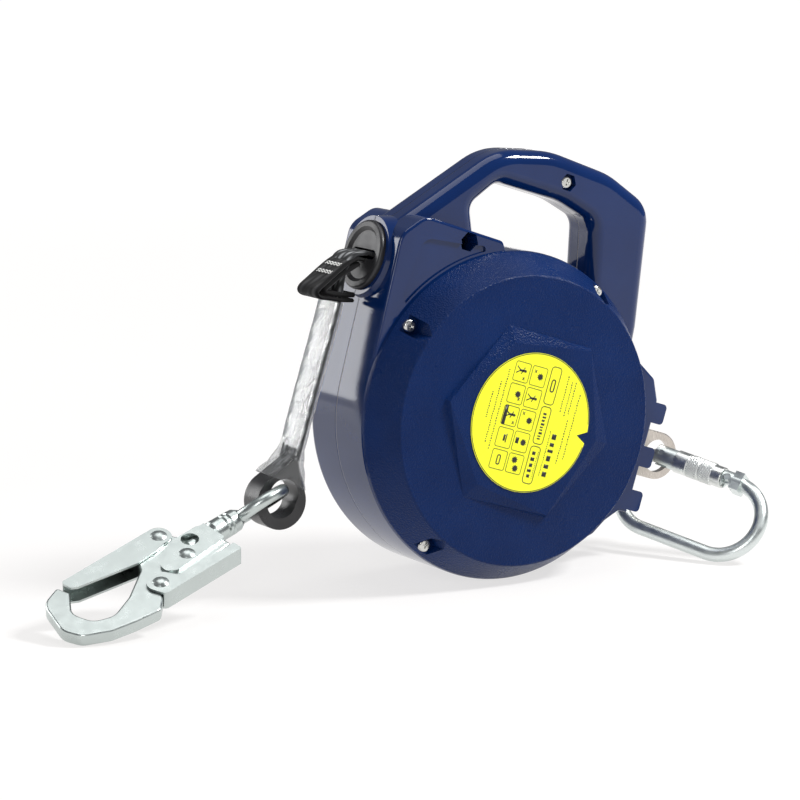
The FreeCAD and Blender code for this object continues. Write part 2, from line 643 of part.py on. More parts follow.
# ---------------------------------------------------------------- drum
def drum_parts():
    """The shaft, the drum, the wound webbing and what turns with them."""
    turned("main_shaft", [("0", "shaft_start"), ("shaft_radius - 0.04", "shaft_start"),
                          ("shaft_radius - 0.04", "shaft_end"), ("0", "shaft_end")])
    near, far = "parting_depth - webbing_width / 2 - 0.5", "parting_depth + webbing_width / 2 + 0.5"
    front, back = near + " - flange_thickness", far + " + flange_thickness"
    turned("drum", [("shaft_radius", front), ("flange_radius", front), ("flange_radius", near),
                    ("hub_radius", near), ("hub_radius", far), ("flange_radius", far),
                    ("flange_radius", back), ("shaft_radius", back)])
    ring("webbing_coil", "hub_radius + 0.1", "coil_radius", "parting_depth - webbing_width / 2",
         "parting_depth + webbing_width / 2")
    ring("front_bearing", "shaft_radius + 0.02", "bearing_radius - 0.02", "front_plate_depth - 2",
         "front_plate_depth + 5")
    ring("rear_bearing", "shaft_radius + 0.02", "bearing_radius - 0.02", "rear_plate_depth - 2",
         "rear_plate_depth + 3.2")
    ring("spring_arbor", "shaft_radius", "shaft_radius + 4", "85", "97.5")
    ring("pawl_carrier", "shaft_radius", "46", "27.2", "31")
    rings = [tube(11, 8.0, 0, 0, depth, depth + 1.2).cut(Part.makeBox(12, 3, 5, Vec(0, depth - 1, -2.5)))
             for depth in (25.8, 31.2)]
    group("shaft_rings", rings, UNIT)
    pins = [joined(depth_rod(size("pawl_pin_radius"), x, z, 20, 31), depth_rod(5, x, z, 18.6, 20))
            for x, z in PAWL_PIVOTS]
    group("pawl_pins", pins, UNIT)


PAWL_ANGLES = (0, 180)
PAWL_PIVOTS = [polar(size("pawl_pivot_radius"), angle) for angle in PAWL_ANGLES]
PAWL_LEAD = 35    # from a pivot's direction to the tooth face that stops its pawl


def pawl(label, angle):
    """A centrifugal pawl, lying inside the ratchet's tooth tips."""
    pivot = size("pawl_pivot_radius")
    shape = slab([(pivot - 6.5, -4, 4), (pivot + 5.5, -6, 5), (pivot + 8.5, 10, 8), (pivot + 4.2, 28.5, 0.6),
                  (pivot - 3.5, 27.5, 2), (pivot - 5, 10, 6)], 0, 5.4)
    shape = shape.cut(rod(size("pawl_pin_radius") + 0.05, Vec(pivot, 0, -1), Vec(pivot, 0, 7)))
    shape.rotate(Vec(), Vec(0, 0, 1), angle)
    shape.rotate(Vec(), Vec(1, 0, 0), 90)
    shape.translate(Vec(0, 26.8, 0))
    return solid(label, shape, UNIT)


def ratchet_ring():
    """The ring with internal saw teeth that the pawls catch."""
    count, tip, root = int(size("ratchet_teeth")), size("ratchet_tip_radius"), size("ratchet_root_radius")
    pitch = 360 / count
    corners = []
    for tooth in range(count):
        face = PAWL_LEAD + pitch * tooth
        corners.append(Vec(*polar(root, face - 0.5), 0))
        corners.append(Vec(*polar(tip, face), 0))
        corners.append(Vec(*polar(tip, face + 2.5), 0))
        corners.append(Vec(*polar(root, face + 9), 0))
    hole = Part.Face(Part.makePolygon(corners + corners[:1])).extrude(Vec(0, 0, 6.5))
    shape = Part.makeCylinder(size("ratchet_radius"), 6.5).cut(hole)
    shape.rotate(Vec(), Vec(1, 0, 0), 90)
    shape.translate(Vec(0, 27, 0))
    return solid("ratchet_ring", shape, UNIT)


def brake_parts():
    """The ratchet ring's slipping brake: linings, backing and clamping rings, bolts."""
    ratchet_ring()
    for label, near in (("front_lining", "18.9"), ("rear_lining", "27")):
        ring(label, "ratchet_root_radius + 0.4", "ratchet_radius", near, near + " + 1.6")
    hole_ring("brake_clamp", 15.9)
    hole_ring("brake_backing", 28.6)
    shapes = [tube(4.6, 3.05, x, z, 31.6, size("front_plate_depth")) for x, z in BRAKE_BOLTS]
    group("brake_spacers", shapes, UNIT)
    far = size("front_plate_depth") + size("plate_thickness")
    group("brake_bolts", [bolt(3, 8, x, z, 15.9, far) for x, z in BRAKE_BOLTS], UNIT)
    springs = [tube(5, 3.3, x, z, 20.05, 21.2) for x, z in PAWL_PIVOTS]
    group("pawl_springs", springs, UNIT)


def hole_ring(label, near):
    """A flat steel ring drilled for the brake bolts."""
    shape = tube(75.5, size("ratchet_root_radius") - 1, 0, 0, near, near + 3)
    shape = shape.cut([depth_rod(3.05, x, z, near - 1, near + 4) for x, z in BRAKE_BOLTS])
    return solid(label, shape, UNIT)


def power_spring():
    """The flat spiral spring: half turns about two centres, a little wider each time."""
    inner, outer = size("shaft_radius") + 4.6, size("spring_case_radius") - 2.2
    halves = int(2 * size("spring_turns"))
    step = (outer - inner - 0.5) / halves
    thick = 0.9
    inside, outside = [], []
    for half in range(halves):
        side = -1 if half % 2 else 1
        centre = step * (half % 2)
        for band, reach in ((inside, inner + step * half), (outside, inner + step * half + thick)):
            band.append(Part.Arc(Vec(centre + side * reach, 0, 0), Vec(centre, side * reach, 0),
                                 Vec(centre - side * reach, 0, 0)).toShape())
    start = Part.LineSegment(inside[0].Vertexes[0].Point, outside[0].Vertexes[0].Point).toShape()
    end = Part.LineSegment(inside[-1].Vertexes[-1].Point, outside[-1].Vertexes[-1].Point).toShape()
    wire = Part.Wire(Part.__sortEdges__(inside + [end] + outside + [start]))
    shape = Part.Face(wire).extrude(Vec(0, 0, size("spring_band")))
    shape.rotate(Vec(), Vec(1, 0, 0), 90)
    shape.translate(Vec(0, 97.2, 0))
    return solid("power_spring", shape, UNIT)


def spring_parts():
    """The power spring's case and cover."""
    hole, floor = "bearing_radius + 0.6", "spring_case_depth + 1.4"
    turned("spring_case", [(hole, "spring_case_depth"), ("spring_case_radius", "spring_case_depth"),
                           ("spring_case_radius", "98.6"), ("spring_case_radius - 1.4", "98.6"),
                           ("spring_case_radius - 1.4", floor), (hole, floor)])
    turned("spring_cover", [("0", "98.8"), ("spring_case_radius", "98.8"), ("spring_case_radius", "100.2"),
                            ("0", "100.2")])
    power_spring()


# ---------------------------------------------------------------- lifeline
GUIDE_MOUTH = UNIT.multVec(Vec(-size("guide_face") + 0.5, 0, size("guide_centre") + 1.5)) - SHIFT
COIL_TOP = UNIT.multVec(Vec(0, 0, size("guide_centre") + 1.5)) - SHIFT
STRAP_ROUTE = [(-99.5, 226.2), (-106, 224), (-111.5, 214), (-114, 199), (-117.5, 186), (-126, 160),
               (-138, 123), (-143, 106), (-147.5, 92)]
SLEEVE_FOOT = (-154.3, 77.7)
SLEEVE_TOP = 0.235      # where the sleeve starts along the hanging strap, as a part of its length


def route_curve(points):
    """A smooth curve through route points given as (X, Z)."""
    curve = Part.BSplineCurve()
    curve.interpolate([Vec(x, 0, z) for x, z in points])
    return curve


def band(curve, first, last, half_width, count=24):
    """A closed flat outline beside a curve; the half width may depend on the place."""
    left, right = [], []
    for step in range(count + 1):
        place = first + (last - first) * step / count
        point, along = curve.value(place), curve.tangent(place)[0]
        side = Vec(along.z, 0, -along.x) * half_width(point)
        left.append(point + side)
        right.append(point - side)
    edges = []
    for points in (left, right):
        edge = Part.BSplineCurve()
        edge.interpolate(points)
        edges.append(edge.toShape())
    ends = [Part.LineSegment(left[index], right[index]).toShape() for index in (0, -1)]
    return Part.Face(Part.Wire([edges[0], ends[1], edges[1], ends[0]]))


def wide(face, width):
    """Gives a flat outline in the XZ plane its width, centred on the webbing."""
    face.translate(Vec(0, size("parting_depth") - width / 2, 0))
    return face.extrude(Vec(0, width, 0))


def webbing_outline(extra=0):
    """The outline of the webbing from the top of the coil to the sewn eye."""
    half = size("webbing_thickness") / 2 + extra
    along = (GUIDE_MOUTH - COIL_TOP).normalize()
    side = Vec(along.z, 0, -along.x) * half
    curve = route_curve([(GUIDE_MOUTH.x, GUIDE_MOUTH.z)] + STRAP_ROUTE)
    hanging = band(curve, curve.FirstParameter, curve.LastParameter, lambda point: half)
    start = curve.tangent(curve.FirstParameter)[0]
    side_end = Vec(start.z, 0, -start.x) * half
    flat = [Vec(*point) for point in (COIL_TOP, GUIDE_MOUTH)]
    for point in flat:
        point.y = 0
    corners = [flat[0] + side, flat[1] + side_end, flat[1] - side_end, flat[0] - side]
    return hanging, Part.Face(Part.makePolygon(corners + corners[:1]))


EYE_TIP = Vec(STRAP_ROUTE[-1][0] + 3.2, 60, STRAP_ROUTE[-1][1] + 7.4)     # where the sewn eye closes


def toward_tip():
    """The direction from the thimble's middle to where the sewn eye closes."""
    return (EYE_TIP - THIMBLE_CENTRE).normalize()


def teardrop(radius, short=0):
    """The outline of the sewn eye round the thimble, up to its closed end or a little short of it."""
    centre = Vec(THIMBLE_CENTRE.x, 0, THIMBLE_CENTRE.z)
    toward = toward_tip()
    reach = (EYE_TIP - THIMBLE_CENTRE).Length - short
    tip = centre + toward * reach
    sideways = Vec(toward.z, 0, -toward.x)
    lift = radius / reach
    spread = math.sqrt(1 - lift * lift)
    points = [centre + toward * (radius * lift) + sideways * (side * radius * spread) for side in (1, -1)]
    bottom = centre - toward * radius
    arc = Part.Arc(points[0], bottom, points[1]).toShape()
    sides = [Part.LineSegment(points[1], tip).toShape(), Part.LineSegment(tip, points[0]).toShape()]
    return Part.Face(Part.Wire([arc] + sides))


def round_face(centre, radius):
    """A disc across the drum axis."""
    edge = Part.makeCircle(radius, Vec(centre.x, 0, centre.z), Vec(0, 1, 0))
    return Part.Face(Part.Wire([edge]))


def lifeline():
    """The webbing, the folded stop at the nozzle, the clear sleeve, the sewn eye and its thimble."""
    thick = size("webbing_thickness")
    width = size("webbing_width")
    groove = size("thimble_groove")
    hanging, flat = webbing_outline()
    loop_outside = teardrop(groove + 0.2 + thick)
    solid("lifeline_webbing", wide(hanging, width).cut(wide(loop_outside.copy(), 60)), STANDING)
    solid("inner_webbing", wide(flat, width), STANDING)

    loop_width = size("thimble_width") - 3.5
    loop = wide(loop_outside.copy(), loop_width).cut(wide(teardrop(groove + 0.2, 6), 60))
    solid("webbing_eye", loop, STANDING)

    outer = size("thimble_radius")
    thimble = wide(teardrop(outer, 6), size("thimble_width"))
    channel_shape = wide(teardrop(groove + 0.35 + thick), loop_width + 0.3)
    channel_shape = channel_shape.cut(wide(teardrop(groove + 0.05, 6), 60))
    eye = wide(round_face(THIMBLE_CENTRE, size("thimble_hole")), 60)
    upper = wide(round_face(THIMBLE_CENTRE + toward_tip() * 5, size("thimble_hole")), 60)
    solid("thimble", thimble.cut([channel_shape, eye, upper]), STANDING)

    fat, _ = webbing_outline(0.15)
    fold = slab([(-96.2, 220.5, 2), (-101.5, 224.5, 5), (-112, 220, 6), (-126.5, 210, 6), (-134, 203, 3),
                 (-128, 197.5, 4), (-117, 196.5, 4), (-104, 193, 5), (-99.5, 202, 5)], 0, 1)
    fold.rotate(Vec(), Vec(1, 0, 0), 90)
    outline = max(fold.Faces, key=lambda face: face.Area)
    outline.translate(Vec(0, -outline.CenterOfMass.y, 0))
    fold = wide(outline, width + 3).cut(wide(fat, width + 0.3))
    solid("fold_bundle", fold, STANDING)

    curve = route_curve(STRAP_ROUTE + [SLEEVE_FOOT])
    first, last = curve.FirstParameter, curve.LastParameter
    top = first + (last - first) * SLEEVE_TOP
    reach = (EYE_TIP - THIMBLE_CENTRE).Length
    spread = math.tan(math.asin(outer / reach))

    def flare(wall):
        """Half the sleeve's thickness: flat on the webbing, then widening over the thimble."""
        centre = Vec(THIMBLE_CENTRE.x, 0, THIMBLE_CENTRE.z)
        return lambda point: max(3.2, spread * (reach - (point - centre).Length) + 3.2) - wall

    sleeve = wide(band(curve, top, last, flare(0)), width + 5)
    sleeve = sleeve.cut(wide(band(curve, first, last, flare(0.8)), width + 3.4))
    solid("clear_sleeve", sleeve, STANDING)


# ---------------------------------------------------------------- snap hook
def scaled(points):
    """Hook outline points brought to the hook's size."""
    return [(x * size("hook_scale"), y * size("hook_scale"), radius) for x, y, radius in points]


GATE_PIVOT, MIDDLE_RIVET, LEVER_PIVOT = [(x, y) for x, y, _ in
                                         scaled([(0.6, -27.8, 0), (0, 0, 0), (33.9, 10, 0)])]
HOOK_BODY = [(-31, -20, 2), (-9, -20, 3), (-6.2, -33.4, 5.8), (7.4, -33.4, 5.8), (9, -23, 3), (28, -20, 8),
             (33, -11, 8), (58, 4.5, 12), (78, 12, 12), (92, 7, 10), (97, -9, 10), (83.5, -26, 1),
             (86, -36.5, 2), (104, -30, 14), (113.5, 0, 12), (108, 13, 10), (90, 23, 12), (72, 27, 12),
             (52, 29.5, 5), (43, 22, 6), (40, 17.6, 4), (-31, 10.5, 2)]
SHANK_BLOCK = [(-31, -17.5, 2), (2, -17.5, 4), (12, -8.5, 5), (22, -3.5, 3), (23.3, 4, 4), (17, 8.6, 4),
               (-31, 5, 2)]
GATE_CHEEK = [(-8.5, -36.8, 8), (-7.5, -19.5, 7), (4, -19, 7), (12, -17, 6), (31, -15.8, 10), (77, -25, 2),
              (81.4, -28, 1), (81.9, -36.8, 2)]
LEVER_CHEEK = [(-31, 13.5, 1), (20, 12.4, 4), (26, 1.5, 8), (38, -1, 9), (44.5, 8, 8), (39.8, 21.5, 4),
               (-31, 21.5, 1)]
SPRING_SEAT = 19     # where the gate spring pushes, along the hook


def channel(outline, web, opening):
    """A folded sheet part: two cheeks and the web that joins them at one edge."""
    inner = size("cheek_gap") / 2
    outer = inner + size("cheek")
    shape = slab(scaled(outline), -outer, outer)
    gap = Part.makeBox(300, 200, 2 * inner, Vec(-150, -100, -inner))
    edge = max(y * opening * -1 for _, y, _ in scaled(outline)) * -opening
    keep_web = Part.makeBox(300, web, 2 * inner, Vec(-150, edge if opening > 0 else edge - web, -inner))
    return shape.cut(gap.cut(keep_web))


def helix_spring(wire, radius, pitch, length, start, direction):
    """A coil spring from a point along a direction."""
    coil = Part.makeHelix(pitch, length - 2 * wire, radius)
    end = coil.Edges[0]
    profile = Part.Wire([Part.makeCircle(wire, Vec(radius, 0, 0), Vec(0, 1, 0))])
    shape = Part.Wire([end]).makePipeShell([profile], True, True)
    shape.translate(Vec(0, 0, wire))
    shape.Placement = FreeCAD.Placement(start, FreeCAD.Rotation(Vec(0, 0, 1), direction))
    return shape


def through(radius, x, y, half=20):
    """A hole straight through the hook."""
    return rod(radius, Vec(x, y, -half), Vec(x, y, half))


def hook_body():
    """The forged plate of the hook with its thicker shank."""
    half = size("hook_plate") / 2
    shape = slab(scaled(HOOK_BODY), -half, half)
    rims = [edge for edge in shape.Edges if edge.BoundBox.ZLength < 1e-6 and edge.BoundBox.XMax > 45]
    shape = shape.makeFillet(1.4, rims)
    block_half = size("shank_block") / 2
    shape = shape.fuse(slab(scaled(SHANK_BLOCK), -block_half, block_half))
    middle, scale = size("swivel_offset"), size("hook_scale")
    cuts = [rod(3.5, Vec(-50, middle, 0), Vec(-10 * scale, middle, 0)),
            through(6, -12 * scale, middle),
            through(size("rivet_radius") + 0.02, *GATE_PIVOT),
            through(size("rivet_radius") + 0.02, *MIDDLE_RIVET),
            through(size("rivet_radius") + 0.02, *LEVER_PIVOT),
            through(7.4, -29 * scale, -24 * scale)]
    cuts.append(Part.makeBox(9, 8, 8, Vec(SPRING_SEAT * scale - 4.5, -23.5, -4)))
    return solid("hook_body", shape.cut(cuts), HOOK)


def swivel_eye():
    """The eye of the hook: a ring on a grooved boss whose pin turns in the shank."""
    scale, wire = size("hook_scale"), size("eye_wire_radius")
    ring_centre = Vec(-77.5 * scale, 0, 0)
    shape = Part.makeTorus(size("eye_ring_radius"), wire, ring_centre, Vec(0, 0, 1))
    start, end = -31.3 * scale, -57 * scale
    profile = [(end - 2, 0), (end - 2, 5.5), (end + 2, 7.6), (end + 8, 8), (end + 9, 7.2), (end + 10, 8),
               (end + 12, 8), (end + 13, 7.2), (end + 14, 8), (start - 2, 8), (start, 6.5), (start, 0)]
    corners = [Vec(x, y, 0) for x, y in profile]
    boss = Part.Face(Part.makePolygon(corners + corners[:1])).revolve(Vec(), Vec(1, 0, 0), 360)
    boss = boss.cut(Part.makeTorus(size("eye_ring_radius") - 9.6, 5.6, ring_centre, Vec(0, 0, 1)))
    pin = rod(3.4, Vec(start - 1, 0, 0), Vec(-15 * scale, 0, 0))
    head = rod(4.3, Vec(-16 * scale, 0, 0), Vec(-10.5 * scale, 0, 0))
    return solid("swivel_eye", joined(shape, boss, pin, head), SWIVEL)


def hook_gate():
    """The sprung gate: a folded channel with a round knuckle."""
    shape = channel(GATE_CHEEK, 1.7, 1)
    shape = shape.cut(through(size("rivet_radius") + 0.05, *GATE_PIVOT))
    return solid("hook_gate", shape, HOOK)


def lock_lever():
    """The lever squeezed by the palm to free the gate."""
    shape = channel(LEVER_CHEEK, 1.7, -1)
    shape = shape.cut(through(size("rivet_radius") + 0.05, *LEVER_PIVOT))
    return solid("lock_lever", shape, HOOK)


def hook_rivets():
    """The three domed rivets through the hook."""
    shapes = []
    for (x, y), half in ((GATE_PIVOT, 6.6), (MIDDLE_RIVET, 6.7), (LEVER_PIVOT, 6.6)):
        shape = through(size("rivet_radius"), x, y, half)
        for side in (-1, 1):
            head = Part.makeSphere(8.5, Vec(x, y, side * (half + 1.9 - 8.5)))
            keep_side = Part.makeBox(30, 30, 10, Vec(x - 15, y - 15, half if side > 0 else -half - 10))
            shape = shape.fuse(head.common(keep_side))
        shapes.append(shape)
    return group("hook_rivets", shapes, HOOK)


def hook_springs():
    """The coil springs behind the gate and the lever."""
    scale = size("hook_scale")
    gate = helix_spring(0.5, 2.8, 2.4, 13.3, Vec(SPRING_SEAT * scale, -32.2, 0), Vec(0, 1, 0))
    lever = helix_spring(0.5, 2.8, 1.9, 6.4, Vec(-20 * scale, 11.8, 0), Vec(0, 1, 0))
    group("gate_spring", [gate], HOOK)
    group("lever_spring", [lever], HOOK)


# ---------------------------------------------------------------- carabiner
def carabiner_body():
    """The bent bar of the carabiner, its flattened hinge end and its forked nose."""
    wire, bow = size("wire_radius"), size("carabiner_width") / 2
    end = size("carabiner_length") / 2
    hinge, latch, corner = size("gate_hinge"), size("gate_latch"), 18
    side = bow - end
    lean = math.radians(40)
    start = Vec(hinge - corner * math.sin(lean), -bow + corner * (1 - math.cos(lean)), 0)
    turn = math.radians(65)
    path = [Part.Arc(start, Vec(hinge - corner * math.sin(turn), -bow + corner * (1 - math.cos(turn)), 0),
                     Vec(-end, corner - bow, 0)).toShape(),
            Part.LineSegment(Vec(-end, corner - bow, 0), Vec(-end, 0, 0)).toShape(),
            Part.Arc(Vec(-end, 0, 0), Vec(side - bow * math.sqrt(0.5), bow * math.sqrt(0.5), 0),
                     Vec(side, bow, 0)).toShape(),
            Part.LineSegment(Vec(side, bow, 0), Vec(-side, bow, 0)).toShape(),
            Part.Arc(Vec(-side, bow, 0), Vec(end, 0, 0), Vec(-side, -bow, 0)).toShape()]
    profile = Part.Wire([Part.makeCircle(wire, start, Vec(-math.cos(lean), math.sin(lean), 0))])
    shape = Part.Wire(path).makePipeShell([profile], True, False)
    near_side, far_side = -bow - 4.6, -bow + 4.6
    tongue = slab([(start.x - 1, start.y + 6, 0), (start.x - 5, start.y - 1, 0), (hinge - 4, near_side, 2),
                   (hinge + 4.6, near_side, 4.5), (hinge + 4.6, far_side, 4.5), (hinge - 5, far_side, 2)],
                  -1.9, 1.9)
    nose = rod(6.4, Vec(latch - 3.6, -bow, 0), Vec(29, -bow, 0))
    block_part = Part.makeBox(7, 13.4, 12.4, Vec(22, -bow - 6.7, -6.2))
    shape = joined(shape, tongue, nose, block_part)
    cuts = [through(2.02, hinge, -bow),
            Part.makeBox(9, 40, 4.6, Vec(latch - 4, -bow - 20, -2.3)),
            slab([(latch - 2.7, -bow - 2.7, 2.6), (latch + 2.7, -bow - 2.7, 2.6), (latch + 2.7, -bow + 20, 0),
                  (latch - 2.7, -bow + 20, 0)], -20, 20)]
    return solid("carabiner_body", shape.cut(cuts), CARABINER)


def carabiner_gate():
    """The gate of the carabiner: hinge fork, core and latch tongue with its cross pin."""
    bow, hinge, latch = size("carabiner_width") / 2, size("gate_hinge"), size("gate_latch")
    fork = rod(size("gate_fork_radius"), Vec(hinge - size("gate_fork_reach"), -bow, 0),
               Vec(hinge + 11, -bow, 0))
    fork = fork.cut(Part.makeBox(12, 40, 4.2, Vec(hinge - 6, -bow - 20, -2.1)))
    core = rod(4.8, Vec(hinge + 10, -bow, 0), Vec(latch - 4.1, -bow, 0))
    tongue = slab([(latch - 6, -bow - 3.4, 0), (latch + 3.2, -bow - 3.4, 3), (latch + 3.2, -bow + 3.4, 3),
                   (latch - 6, -bow + 3.4, 0)], -1.9, 1.9)
    pin = through(2.4, latch, -bow, 6)
    shape = joined(fork, core, tongue, pin).cut(through(2.05, hinge, -bow))
    return solid("carabiner_gate", shape, CARABINER)


def locking_sleeve():
    """The knurled sleeve that turns on the gate, with two grooves and a smooth end."""
    bow, hinge, latch = size("carabiner_width") / 2, size("gate_hinge"), size("gate_latch")
    outer = size("locking_sleeve_radius")
    start, end = hinge + 11.2, latch - 4.4
    profile = [(start, 4.9), (start, outer - 0.5), (start + 0.6, outer), (start + 15.4, outer),
               (start + 15.4, outer - 0.5), (start + 16.4, outer - 0.5), (start + 16.4, outer),
               (end - 8, outer), (end - 7.4, outer - 0.8), (end - 0.6, outer - 0.8), (end, outer - 1.4),
               (end, 4.9)]
    corners = [Vec(x, y, 0) for x, y in profile]
    shape = Part.Face(Part.makePolygon(corners + corners[:1])).revolve(Vec(), Vec(1, 0, 0), 360)
    shape.translate(Vec(0, -bow, 0))
    return solid("locking_sleeve", shape, CARABINER)


def gate_hinge_pin():
    """The pin on which the carabiner's gate swings."""
    bow, hinge = size("carabiner_width") / 2, size("gate_hinge")
    return solid("gate_hinge_pin", through(2, hinge, -bow, size("gate_fork_radius") - 0.4), CARABINER)


# ---------------------------------------------------------------- build
front_shell()
rear_shell()
housing_screws()
label_disc()
webbing_guide()
frame_plate("front_frame_plate", "front_plate_depth")
frame_plate("rear_frame_plate", "rear_plate_depth")
anchor_strap()
frame_spacers()
frame_bolts()
frame_screws()
drum_parts()
for order, angle in enumerate(PAWL_ANGLES, start=1):
    pawl("pawl_%d" % order, angle)
brake_parts()
spring_parts()
lifeline()
swivel_eye()
hook_body()
hook_gate()
lock_lever()
hook_rivets()
hook_springs()
carabiner_body()
carabiner_gate()
locking_sleeve()
gate_hinge_pin()

doc.recompute()
os.makedirs("parts", exist_ok=True)
for item in doc.Objects:
    if "Invalid" in item.State or "Error" in item.State:
        raise RuntimeError("%s did not build: %s" % (item.Name, item.State))
for item in parts:
    if item.Shape.isNull() or not item.Shape.isValid():
        raise RuntimeError("%s has no valid shape" % item.Label)
    item.Shape.exportStep("parts/%s.step" % item.Label)
    box = item.Shape.BoundBox
    print("%-20s %8.0f  X %6.1f %6.1f  Y %6.1f %6.1f  Z %6.1f %6.1f" % (
        item.Label, item.Shape.Volume, box.XMin, box.XMax, box.YMin, box.YMax, box.ZMin, box.ZMax))
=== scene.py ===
import json
import math
import random

import bmesh
import bpy
from mathutils import Matrix, Vector


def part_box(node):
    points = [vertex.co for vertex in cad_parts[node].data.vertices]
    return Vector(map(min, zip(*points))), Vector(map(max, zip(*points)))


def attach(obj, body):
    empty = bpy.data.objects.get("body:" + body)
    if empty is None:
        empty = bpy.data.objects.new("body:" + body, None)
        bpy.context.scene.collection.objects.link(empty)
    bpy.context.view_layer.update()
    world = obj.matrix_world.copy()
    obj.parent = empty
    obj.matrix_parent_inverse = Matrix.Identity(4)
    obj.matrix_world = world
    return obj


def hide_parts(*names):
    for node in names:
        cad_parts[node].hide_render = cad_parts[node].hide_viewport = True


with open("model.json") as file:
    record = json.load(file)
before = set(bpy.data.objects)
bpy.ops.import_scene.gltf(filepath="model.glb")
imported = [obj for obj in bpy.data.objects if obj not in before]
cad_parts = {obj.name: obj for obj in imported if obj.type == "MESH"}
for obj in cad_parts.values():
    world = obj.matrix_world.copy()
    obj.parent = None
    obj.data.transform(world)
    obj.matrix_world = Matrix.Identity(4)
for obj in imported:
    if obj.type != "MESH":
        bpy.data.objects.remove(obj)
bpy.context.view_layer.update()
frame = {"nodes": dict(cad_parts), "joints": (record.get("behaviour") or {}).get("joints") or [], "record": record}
nodes = frame["nodes"]

# Every length below is in metres, in the row's frame.
MM = 0.001


# ---------------------------------------------------------------- places taken from the frame
JOINTS = {joint["name"]: joint for joint in frame["joints"]}


def joint_place(name):
    """Where a joint's axis passes."""
    return Vector(JOINTS[name]["pos_m"])


def joint_axis(name):
    """The direction of a joint's axis."""
    return Vector(JOINTS[name]["axis"]).normalized()


DRUM = joint_place("drum_spin")
PARTING = DRUM.y                                   # the covers meet in the plane of the drum's middle
RIM_FRONT = PARTING - 60 * MM                      # the front cover's rim
ANCHORWARD = -joint_axis("lifeline_payout")        # the unit frame: out through the anchor strap
DEPTH = Vector((0, 1, 0))                          # along the drum axis
CROSSWARD = ANCHORWARD.cross(DEPTH)                # and across both
UNIT_TURN = Matrix((ANCHORWARD, DEPTH, CROSSWARD)).transposed().to_4x4()
UNIT = Matrix.Translation((DRUM.x, RIM_FRONT, DRUM.z)) @ UNIT_TURN

WEBBING_WIDTH = 25 * MM
WEBBING_THICKNESS = 2.4 * MM


# ---------------------------------------------------------------- mesh helpers
def add_piece(name, mesh, body, material):
    """Links a mesh as a piece of the object, riding on a CAD body."""
    piece = bpy.data.objects.new(name, mesh)
    bpy.context.scene.collection.objects.link(piece)
    mesh.materials.append(material)
    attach(piece, body)
    return piece


def mesh_from(name, vertices, faces, smooth=True):
    """A mesh from its corners and faces."""
    mesh = bpy.data.meshes.new(name)
    mesh.from_pydata([tuple(vertex) for vertex in vertices], [], faces)
    mesh.validate()
    for polygon in mesh.polygons:
        polygon.use_smooth = smooth
    return mesh


def grid_faces(rows, columns, around=False, closed=False):
    """Quads between the rows of a grid; "around" joins the last column to the first, "closed" the rows."""
    faces = []
    for row in range(rows if closed else rows - 1):
        after_row = (row + 1) % rows
        for column in range(columns if around else columns - 1):
            after = (column + 1) % columns
            faces.append((row * columns + column, row * columns + after,
                          after_row * columns + after, after_row * columns + column))
    return faces


def spline_points(points, count):
    """Points along a smooth curve that has the given route as its control points."""
    curve = bpy.data.curves.new("route", "CURVE")
    curve.dimensions = "3D"
    spline = curve.splines.new("NURBS")
    spline.points.add(len(points) - 1)
    for index, point in enumerate(points):
        spline.points[index].co = (*point, 1)
    spline.order_u = 3
    spline.use_endpoint_u = True
    spline.resolution_u = 24
    holder = bpy.data.objects.new("route", curve)
    mesh = bpy.data.meshes.new_from_object(holder)
    fine = [vertex.co.copy() for vertex in mesh.vertices]
    bpy.data.objects.remove(holder)
    bpy.data.meshes.remove(mesh)
    lengths = [0.0]
    for before, after in zip(fine, fine[1:]):
        lengths.append(lengths[-1] + (after - before).length)
    spread = []
    index = 0
    for step in range(count):
        wanted = lengths[-1] * step / (count - 1)
        while index < len(lengths) - 2 and lengths[index + 1] < wanted:
            index += 1
        span = max(lengths[index + 1] - lengths[index], 1e-12)
        spread.append(fine[index].lerp(fine[index + 1], (wanted - lengths[index]) / span))
    return spread


def route_frames(points):
    """The direction along a route and the side normal, both square to the drum axis."""
    frames = []
    for index, point in enumerate(points):
        before = points[max(index - 1, 0)]
        after = points[min(index + 1, len(points) - 1)]
        along = (after - before).normalized()
        frames.append((point, along, DEPTH.cross(along).normalized()))
    return frames


def strap_section(width, thickness, steps=20):
    """A woven strap's cross-section: flat faces, rounded selvedges a little thicker than the middle."""
    section = []
    edge_start, ridge_place, ridge_width, ridge_height = 0.86, 0.8, 0.06, 0.08
    for side in (1, -1):
        for step in range(steps + 1):
            share = -1 + 2 * step / steps
            edge = max(0.0, (abs(share) - edge_start) / (1 - edge_start))
            ridge = ridge_height * math.exp(-((abs(share) - ridge_place) / ridge_width) ** 2)
            height = thickness / 2 * (math.sqrt(max(0.0, 1 - edge * edge)) + ridge)
            section.append((side * share * width / 2, side * height))
    return section


